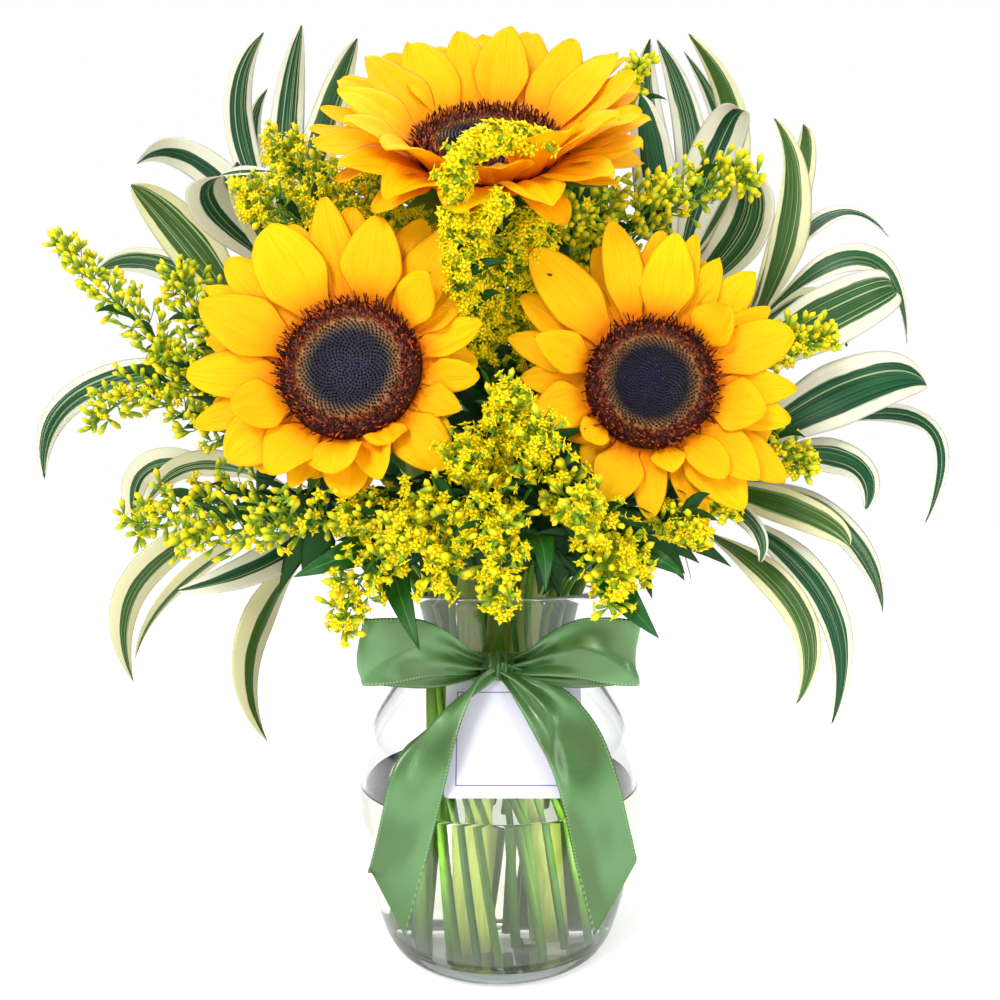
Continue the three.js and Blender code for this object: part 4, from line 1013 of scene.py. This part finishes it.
def disc_piece(name, flower, draw, material):
    """Low dome with a raised rim, and florets on it in the golden spiral: knobs inside, spikes outside."""
    pile = Pile()
    axes, centre = head_axes(flower), np.array(flower["centre"], float)
    disc = flower["disc"]
    # The dome's height at shares of its radius, then its side and its top from the rim in.
    shares = np.array([0, 0.3, 0.52, 0.72, 0.9, 1.0])
    heights = np.array([2.4, 2.5, 3.6, 3.8, 5.2, 2.2])
    profile = [(disc * 0.98, -2.6), (disc, 0), (disc, 2.0)]
    profile += [(disc * s, np.interp(s, shares, heights)) for s in np.linspace(0.96, 0.02, 22)]
    points, polygons = skin(lathe(profile, 64))
    share = np.hypot(points[:, 0], points[:, 1]) / disc
    pile.add(points @ axes.T + centre, polygons, np.stack([share, 0 * share, 0 * share], -1))
    i = np.arange(FLORETS)
    share = np.sqrt((i + 0.5) / FLORETS)
    angle = i * GOLDEN_ANGLE
    height = np.interp(share, shares, heights)
    local = np.stack([disc * share * np.cos(angle), disc * share * np.sin(angle), height - 0.3], -1)
    radial = np.stack([np.cos(angle), np.sin(angle), 0 * angle], -1)
    tone = draw.uniform(0, 1, FLORETS)
    inner = share < 0.7
    lean = np.where(share < 0.5, 0, (share - 0.5) * 0.5)[:, None]
    way = unit(np.array([0, 0, 1.0]) + radial * lean + draw.normal(size=(FLORETS, 3)) * 0.05)
    for mask, shape, size, tall, wild in ((inner, KNOB, 0.54, 1.5, 0.08), (~inner, SPIKE, 0.6, 5.4, 0.4)):
        n = mask.sum()
        axis = unit(way[mask] + draw.normal(size=(n, 3)) * wild) @ axes.T
        grow = draw.uniform(0.8, 1.15, n)
        if shape is SPIKE:
            grow = grow * np.interp(share[mask], [0.7, 0.85, 1.0], [0.5, 1, 1])
        frames = frames_along(axis, draw, np.full(n, size), tall * grow)
        scatter(pile, shape, local[mask] @ axes.T + centre, frames, share[mask][:, None], tone[mask])
    return pile.piece(f"sunflower_{name}_disc", material)


def stem_piece(name, flower, draw, material):
    """Ribbed stem with the green back of the head and two rows of pointed bracts."""
    pile = Pile()
    axes, centre = head_axes(flower), np.array(flower["centre"], float)
    disc, facing = flower["disc"], axes[:, 2]
    stem = whole_stem(flower["neck"], centre - facing * HEAD_DEPTH, facing, 12, 30)
    tube(pile, stem, (SUNFLOWER_STEM, SUNFLOWER_STEM), 24, (0, 0, 0), ribs=0.03)
    cup = [
        (5.5, -20), (8, -18.5), (disc * 0.42, -15), (disc * 0.72, -10.5), (disc * 0.94, -6.4),
        (disc + 3, -3.4), (disc * 0.9, -3.2),
    ]
    points, polygons = skin(lathe(cup, 40))
    pile.add(points @ axes.T + centre, polygons, (0, 0, 1))
    for k in range(BRACTS):
        angle = k * 2 * np.pi / BRACTS + draw.uniform(-0.1, 0.1)
        # Every other bract belongs to the outer row.
        outer = k % 2
        out = np.array([math.cos(angle), math.sin(angle), 0])
        rise = math.radians(-6 + 10 * outer + draw.uniform(-6, 6))
        start = out * (disc - 3 - 2 * outer) + (0, 0, -5.6 - 1.2 * outer)
        tip = start + (out * math.cos(rise) + np.array([0, 0, math.sin(rise)])) * (22 + draw.uniform(-4, 6))
        crown = (start + tip) / 2 + (0, 0, -1.2)
        start, crown, tip = (p @ axes.T + centre for p in (start, crown, tip))
        side = axes @ np.array([out[1], -out[0], 0])
        blade(
            pile, (start, crown, tip), side, 11, "bract", 1.0, lambda s, a: 0.2 * a**2,
            thickness=0.8, columns=7, rows=10,
        )
    return pile.piece(f"sunflower_{name}_stem", material)


# Leafy stems


def leaf_side(root, crown, tip):
    """The direction across a leaf that bends from root over crown to tip."""
    return unit(np.cross(np.subtract(tip, root), np.subtract(crown, root)))


def dracaena_piece(name, plant, draw, material):
    """Stem with long channelled leaves that arch over and taper to a fine point."""
    neck, top, heading, leaves = plant
    pile = Pile()
    tube(pile, whole_stem(neck, top, heading), DRACAENA_STEM, 10, (0, 0.5, 1))
    # Leaves of low tone have broader cream margins.
    tones = (0.05, 0.25) if name == "left_low" else (0.25, 0.9)
    for height, crown, tip, width, roll in leaves:
        root = rise_of(neck, top, heading, height * 0.985)[0]
        phase, ripple = draw.uniform(0, 6.3), draw.uniform(0.3, 1.1)
        side = leaf_side(root, crown, tip)
        level = unit(np.cross(np.subtract(tip, root), (0, 1, 0)))
        # How far the leaf turns its face to the front.
        faced = 0 if name.startswith("back") or roll >= STEEP_ROLL else 0.62
        side = unit(side * (1 - faced) + level * faced * np.sign(level @ side + 1e-6))
        roll = roll * (1 - faced)
        blade(
            pile, (root, crown, tip), side, width * 1.15, "strap", draw.uniform(*tones),
            lambda s, a: 0.22 * np.sqrt(a**2 + 0.02) - 0.03, roll=roll, thickness=0.7,
            columns=11, wave=lambda s, a: ripple * a * np.abs(a) * np.sin(s * 8 + phase),
        )
    return pile.piece(f"dracaena_{name}", material)


def ruscus_piece(name, plant, draw, material):
    """Thin stem with flat pointed leaves."""
    neck, top, leaves = plant
    heading = np.subtract(leaves[0][1], top)
    pile = Pile()
    tube(pile, whole_stem(neck, top, heading), RUSCUS_STEM, 8, (0.5, 0.5, 2))
    for height, crown, tip, width in leaves:
        root = rise_of(neck, top, heading, height * 0.98)[0]
        blade(
            pile, (root, crown, tip), leaf_side(root, crown, tip), width, "lens", draw.uniform(0, 1),
            lambda s, a: 0.16 * np.sqrt(a**2 + 0.01),
            wave=lambda s, a: 0.4 * a * np.sin(s * 6 + width),
        )
    return pile.piece(f"ruscus_{name}", material)


# Goldenrod


def plume(pile, draw, curve, radius, opened):
    """Side twigs all round a bend, longest below its middle. A twig runs out along way and bends up with
    the square of its share, and its florets stand round it, closer towards its end."""
    thin, budding = radius < 5, opened < 0.2
    # Florets on each twig, and twigs for each millimetre from the fork to the tip.
    each, crowd = (4, 0.42) if budding else (5, 0.48)
    # Where twigs start, how many there are at most, how far off its twig a floret stands, and its size.
    start, most, loose, grown = (0.5, 30, 3, 1.25) if thin else (0.14, 50, min(4, 0.5 + 0.3 * radius), 1.08)
    count = int(np.clip(np.linalg.norm(np.subtract(curve[2], curve[0])) * crowd, 20, most))
    i = np.arange(count)
    s = start + (1 - start) * ((i + 0.5) / count) ** 0.85
    point, heading = bend(*curve, s)
    u = unit(np.cross(heading, np.array([0.3, 0.2, 1.0])))
    v = np.cross(heading, u)
    angle = (i * GOLDEN_ANGLE + draw.uniform(-0.3, 0.3, count))[:, None]
    radial = u * np.cos(angle) + v * np.sin(angle)
    reach = radius * (1 - 0.62 * smooth(0.45, 1.1, s)) * smooth(0, 0.36, s)
    reach = reach * draw.uniform(0.7, 1.2, count)
    way = unit(radial + 0.6 * heading + np.array([0, -0.1, 0.1])) * reach[:, None]
    rise = np.array([0, 0, 0.22]) * reach[:, None]
    half, ends = point + way * 0.5 + rise * 0.25, point + way + rise
    tone = draw.uniform(0, 1, count)
    twigs(pile, point, half, 0.4, 0.1, tone)
    twigs(pile, half, ends, 0.28, 0.14, tone)
    t = (0.22 + 0.84 * ((np.arange(each) + 0.5) / each) ** 0.8)[None, :, None]
    along = point[:, None] + way[:, None] * t + rise[:, None] * t**2
    spread = unit(draw.normal(size=along.shape) + unit(way)[:, None] * 0.5 + np.array([0, -0.2, 0.45]))
    place = (along + spread * draw.uniform(0.45 * loose, loose, (count, each, 1))).reshape(-1, 3)
    axis = unit(spread.reshape(-1, 3) + np.repeat(unit(way), each, 0) * 0.35)
    tone = draw.uniform(0, 1, len(place))
    size = draw.uniform(0.85, 1.2, len(place)) * grown
    star = draw.uniform(0, 1, len(place)) < opened
    frames = frames_along(axis[star], draw, size[star] * 2.8, size[star] * 2.2)
    scatter(pile, STAR, place[star] + axis[star] * 1.4, frames, STAR_KINDS, tone[star])
    frames = frames_along(axis[~star], draw, size[~star] * 1.3, size[~star] * 1.5)
    bud_kinds = 0.24 + 0.1 * opened + 0.26 * draw.uniform(0, 1, ((~star).sum(), 1))
    scatter(pile, BUD, place[~star], frames, bud_kinds, tone[~star])


def goldenrod_piece(number, plant, draw, material):
    """Thin stem with narrow leaves, a fan of broad ones and the fork that carries its plumes."""
    neck, fork, opened, plumes = plant
    heading = np.subtract(plumes[0][0], fork)
    pile = Pile()
    tube(pile, whole_stem(neck, fork, heading), GOLDENROD_STEM, 8, STALK_MARKS)
    plumes = plumes + MORE_PLUMES.get(number, [])
    leaves = [(rise_of(neck, fork, heading, share)[0], 0) for share in np.linspace(0.42, 0.99, 22)]
    for crown, tip, radius in plumes:
        if radius > 3:
            leaves += [(point, 1) for point in bend(fork, crown, tip, np.linspace(0.06, 0.56, 6))[0]]
    fan = LEAF_FANS.get(number, 6)
    leaves += [(rise_of(neck, fork, heading, draw.uniform(0.78, 1))[0], 2) for _ in range(fan)]
    for k, (root, kind) in enumerate(leaves):
        long, broad = LEAF_SIZES[kind]
        out = unit(np.array([*(draw.normal(size=2) + np.array(root[:2]) * 0.012), draw.uniform(0.1, 0.9)]))
        length = draw.uniform(24, 44) * long
        if kind == 2:
            high = fork[2] > HIGH_FORK
            angle = k * math.tau / fan
            lift = math.sin(angle) if high else -abs(math.sin(angle))
            back = 0.1 if high else -0.1
            out = unit(np.array([math.cos(angle), draw.uniform(back, back + 0.5), lift]))
            length *= 1 - 0.4 * abs(out[2])
        crown, tip = root + out * length * 0.5 + (0, 0, 4), root + out * length
        blade(
            pile, (root, crown, tip), np.cross(out, (0.1, 1, 0.4)), draw.uniform(6, 10) * broad, "lens",
            draw.uniform(0, 1), lambda s, a: 0.15 * a**2, thickness=0.4, columns=5, rows=9, kind=LEAF_KIND,
        )
    for crown, tip, radius in plumes:
        tube(pile, bend(fork, crown, tip, np.linspace(0, 1, 16))[0], (1.1, 0.5), 6, STALK_MARKS)
        plume(pile, draw, (fork, crown, tip), radius * PLUME_FULLNESS.get(number, 1.55), opened)
    return pile.piece(f"goldenrod_{number}", material)


# Ribbon and card


def strip_piece(node, stations, material, cut=False):
    """Ribbon through stations: a thin closed strip that is crowned across and gathers into folds at the
    knot. The last station of a cut strip is its slanted edge, and the sides run straight to it."""
    rows = np.array([[*middle, *direction, width] for middle, direction, width in stations], float)
    rows[:, 3:6] = unit(rows[:, 3:6])
    t = np.linspace(0, 1, 96)
    at = through(np.vstack([rows[:-1], 2 * rows[-2] - rows[-3]]) if cut else rows, t)
    half = unit(at[:, 3:6]) * at[:, 6:] / 2
    low, high = at[:, :3] - half, at[:, :3] + half
    if cut:
        part = np.clip(t * (len(rows) - 1) - (len(rows) - 2), 0, 1)[:, None]
        halves = rows[[-2, -1], 3:6] * rows[[-2, -1], 6:] / 2
        for edge, sign in ((low, -1), (high, 1)):
            first, last = rows[-2, :3] + sign * halves[0], rows[-1, :3] + sign * halves[1]
            edge[:] = np.where(part > 0, first + (last - first) * part, edge)
    middle, across = (low + high) / 2, unit(high - low)
    width = np.linalg.norm(high - low, axis=1)[:, None]
    over = unit(np.cross(unit(np.gradient(middle, axis=0)), across))
    knotted = smooth(0.42, 0.08, t if cut else np.minimum(t, 1 - t))[:, None]
    gathered = np.clip(1 - width / RIBBON_WIDTH, 0, 1)
    # Each strip has a number of its own, which sets its folds and its shade apart.
    own = len(node)
    t, a = t[:, None], np.linspace(-1, 1, 29)
    slack = np.clip(1 - gathered * 1.6, 0, 1) * np.sin(np.pi * t) ** 0.5
    drift = np.sin(t * 13 + own) * np.cos(a * 2.4 + 0.6)
    crease = np.exp(-(((a - 0.9 * np.cos(t * 5)) / 0.22) ** 2))
    lift = 2.6 * gathered * np.cos(a * 2.5 * np.pi + t * 3)
    lift = lift + slack * (1.3 * drift + 0.7 * crease) + 0.9 * knotted * np.sin(a * 5.5 + 1.2 * own)
    thick = 0.25 * np.sqrt(np.clip(1 - a**8, 0, 1))[:, None]
    aside = across[:, None] * (a * width / 2)[..., None]
    surface = middle[:, None] + aside + over[:, None] * lift[..., None]
    span = np.concatenate([[0], np.cumsum(np.linalg.norm(np.diff(middle, axis=0), axis=1))])
    rings, marks = two_faces(surface, over[:, None] * thick, a, span, own * 0.37)
    pile = Pile()
    pile.add(*skin(rings), np.vstack([marks.reshape(-1, 3), [[0, 0, 0], [0, span[-1], 0]]]))
    item = pile.piece(node, material)


def turn_piece(node, rings, across, along, tone, material):
    """One turn of the ribbon, closed on itself, with its marks."""
    marks = np.empty((*rings.shape[:2], 3))
    marks[..., 0], marks[..., 1], marks[..., 2] = across, along, tone
    pile = Pile()
    pile.add(*hoop(rings), marks.reshape(-1, 3))
    return pile.piece(node, material)


def band_piece(material):
    """Ribbon gathered round the neck: a hoop that follows the glass, in four level pleats."""
    angle = np.linspace(0, 2 * np.pi, 160, endpoint=False)[:, None]
    z = np.linspace(BAND["from"], BAND["to"], 40)
    pleat = np.abs(np.sin((z - BAND["from"]) * 1.16 + 0.5 * np.sin(angle * 3))) * 2.3
    outer = wall_profile(0, z) + GAP + 0.7 + pleat
    ring = np.concatenate([outer, outer[:, ::-1] - 0.5], 1)
    height = np.concatenate([z, z[::-1]]) + 0 * ring
    rings = np.stack([ring * np.cos(angle), ring * np.sin(angle), height], -1)
    across = np.concatenate([np.linspace(-1, 1, 40), np.linspace(1, -1, 40)])
    item = turn_piece("ribbon_band", rings, across, angle * 43, 0.3, material)


def knot_piece(material):
    """Ribbon wrapped once round the middle of the bow: a hoop about the level axis, pulled into folds."""
    angle = np.linspace(0, 2 * np.pi, 72, endpoint=False)[:, None]
    a = np.linspace(-1, 1, 41)
    pull = 1 - 0.16 * np.abs(a) ** 3
    fold = 0.9 * np.cos(a * 4 * np.pi + 0.5 * np.sin(angle)) - 0.7 * np.abs(a) ** 2
    deep, high = KNOT["depth"] / 2 - 0.6, KNOT["height"] / 2 - 0.4
    x = a * KNOT["width"] / 2 * (1 + 0.08 * np.cos(angle)) + 0.5 * np.sin(angle * 2)
    faces = []
    for inset in (0, 0.5):
        y = -(deep * pull + fold - inset) * np.cos(angle)
        z = (high * pull + fold - inset) * np.sin(angle)
        faces.append(np.stack([x, y, z], -1))
    rings = np.concatenate([faces[0], faces[1][:, ::-1]], 1) + np.array(KNOT["centre"])
    across = np.concatenate([a, a[::-1]]) * 0.9
    item = turn_piece("ribbon_knot", rings, across, angle * 6, 0.7, material)


# The bouquet

draw = np.random.default_rng(5)
petal, disc, stem = petal_finish(), disc_finish(), stem_finish()
striped, goldenrod, ruscus, satin = striped_finish(), goldenrod_finish(), ruscus_finish(), satin_finish()

vase_piece()
water_piece()
for name, flower in SUNFLOWERS.items():
    petals_piece(name, flower, draw, petal)
    disc_piece(name, flower, draw, disc)
    stem_piece(name, flower, draw, stem)
for name, plant in DRACAENA.items():
    dracaena_piece(name, plant, draw, striped)
for name, plant in RUSCUS.items():
    ruscus_piece(name, plant, draw, ruscus)
for number, plant in enumerate(GOLDENROD, 1):
    goldenrod_piece(number, plant, draw, goldenrod)
knot_piece(satin)
band_piece(satin)
for name, side in (("left", -1), ("right", 1)):
    loop = [((side * x, y, z), across, width) for (x, y, z), across, width in LOOP]
    strip_piece(f"ribbon_loop_{name}", loop, satin)
    strip_piece(f"ribbon_tail_{name}", TAILS[name], satin, cut=True)
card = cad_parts["card"]
card.data.materials.clear()
card.data.materials.append(card_finish())


# Floor, light and camera, in metres

FLOOR_Z = -0.0002
LIGHT_SIZE = 0.6
BOUQUET_MIDDLE = (0, 0, 0.25)


def floor_piece():
    """A wide pale floor, just below the foot, which glows evenly. For rays through the glass it has a
    painted pool of light under the vase, where glass and water would gather light, and painted shade far to
    the sides, which gives the wall its grey edges."""
    mesh = bpy.data.meshes.new("floor")
    corners = [(x, y, FLOOR_Z) for x, y in ((-6, -3), (6, -3), (6, 9), (-6, 9))]
    mesh.from_pydata(corners, [], [(0, 1, 2, 3)])
    f = Finish("floor", Roughness=0.9, Specular_IOR_Level=0.0, Base_Color=(0.9, 0.9, 0.9, 1))
    across = f.size(f.split(f.place())[0])
    away = f.node("ShaderNodeVectorMath", {0: f.place()}, operation="LENGTH").outputs["Value"]
    through_glass = f.node("ShaderNodeLightPath").outputs["Is Transmission Ray"]
    # Painted shade: less glow to the sides, for rays through the glass, which darkens the wall's edges.
    near = f.times(f.step(0.045, 0.1, across), f.step(0.42, 0.28, away))
    sides = f.plus(f.times(near, 0.36), f.times(f.step(0.08, 0.3, across), 0.16))
    # Painted light: more glow right under the vase, for rays through the glass.
    gathered = f.times(f.step(0.08, 0.06, away), 0.45)
    glow = f.plus(f.times(f.minus(gathered, sides), through_glass), 0.52)
    f.set(Emission_Color=(1, 1, 1, 1), Emission_Strength=glow)
    mesh.materials.append(f.material)
    placed("floor", mesh)


def soft_light(name, place, power):
    """A wide round light that is turned to the middle of the bouquet."""
    data = bpy.data.lights.new(name, "AREA")
    data.shape, data.size, data.energy = "DISK", LIGHT_SIZE, power
    item = placed(name, data)
    item.location = place
    aim = unit(np.subtract(BOUQUET_MIDDLE, place))
    item.rotation_euler = (math.acos(-aim[2]), 0, math.atan2(aim[0], -aim[1]) + math.pi)


def world_light():
    """White behind, and dimmer for matt surfaces. The sides are grey, so that glass gets its edges."""
    world = bpy.data.worlds.new("studio")
    bpy.context.scene.world = world
    world.use_nodes = True
    sky = Nodes(world.node_tree)
    path = sky.node("ShaderNodeLightPath").outputs
    direction = sky.split(sky.node("ShaderNodeTexCoord").outputs["Generated"])
    wall = sky.minus(1.0, sky.times(sky.step(0.16, 0.5, sky.size(direction[0])), 0.5))
    plain = sky.math("MAXIMUM", path["Is Camera Ray"], path["Is Diffuse Ray"])
    gloss = sky.minus(1.0, sky.times(path["Is Glossy Ray"], 0.55))
    seen = sky.times(sky.math("MAXIMUM", wall, plain), gloss)
    background = world.node_tree.nodes["Background"]
    sky.put(background.inputs["Color"], seen)
    sky.put(background.inputs["Strength"], sky.minus(1.0, sky.times(path["Is Diffuse Ray"], 0.4)))


def vase_lights():
    """Small soft lights inside the glass, so that the stems in it are as bright as those above it. They
    stand at four points of a circle, in the water and in the air over it, and are unseen themselves."""
    circle = 0.05
    for k in range(8):
        angle = math.radians(45 + 90 * k)
        height, power = ((0.055, 0.13), (0.098, 0.04))[k // 4]
        data = bpy.data.lights.new(f"vase_light_{k}", "POINT")
        data.energy, data.shadow_soft_size, data.color = power, 0.012, (1, 1, 0.97)
        item = placed(data.name, data)
        item.location = (circle * math.cos(angle), circle * math.sin(angle), height)
        item.visible_camera = item.visible_transmission = item.visible_glossy = False


floor_piece()
vase_lights()
soft_light("key", (-0.7, -1.3, 1.1), 17)
soft_light("fill", (1.1, -1.1, 0.6), 5)
soft_light("top", (0.1, 0.1, 1.5), 7)
world_light()

camera_data = bpy.data.cameras.new("camera")
camera_data.lens = 28.44
camera_data.sensor_width = 36
camera_data.shift_x = 0.001
camera_data.shift_y = 0.016
camera = placed("camera", camera_data)
camera.location = EYE * MM
camera.rotation_euler = (math.pi / 2, 0, 0)
bpy.context.scene.camera = camera
bpy.context.scene.view_settings.view_transform = "Standard"
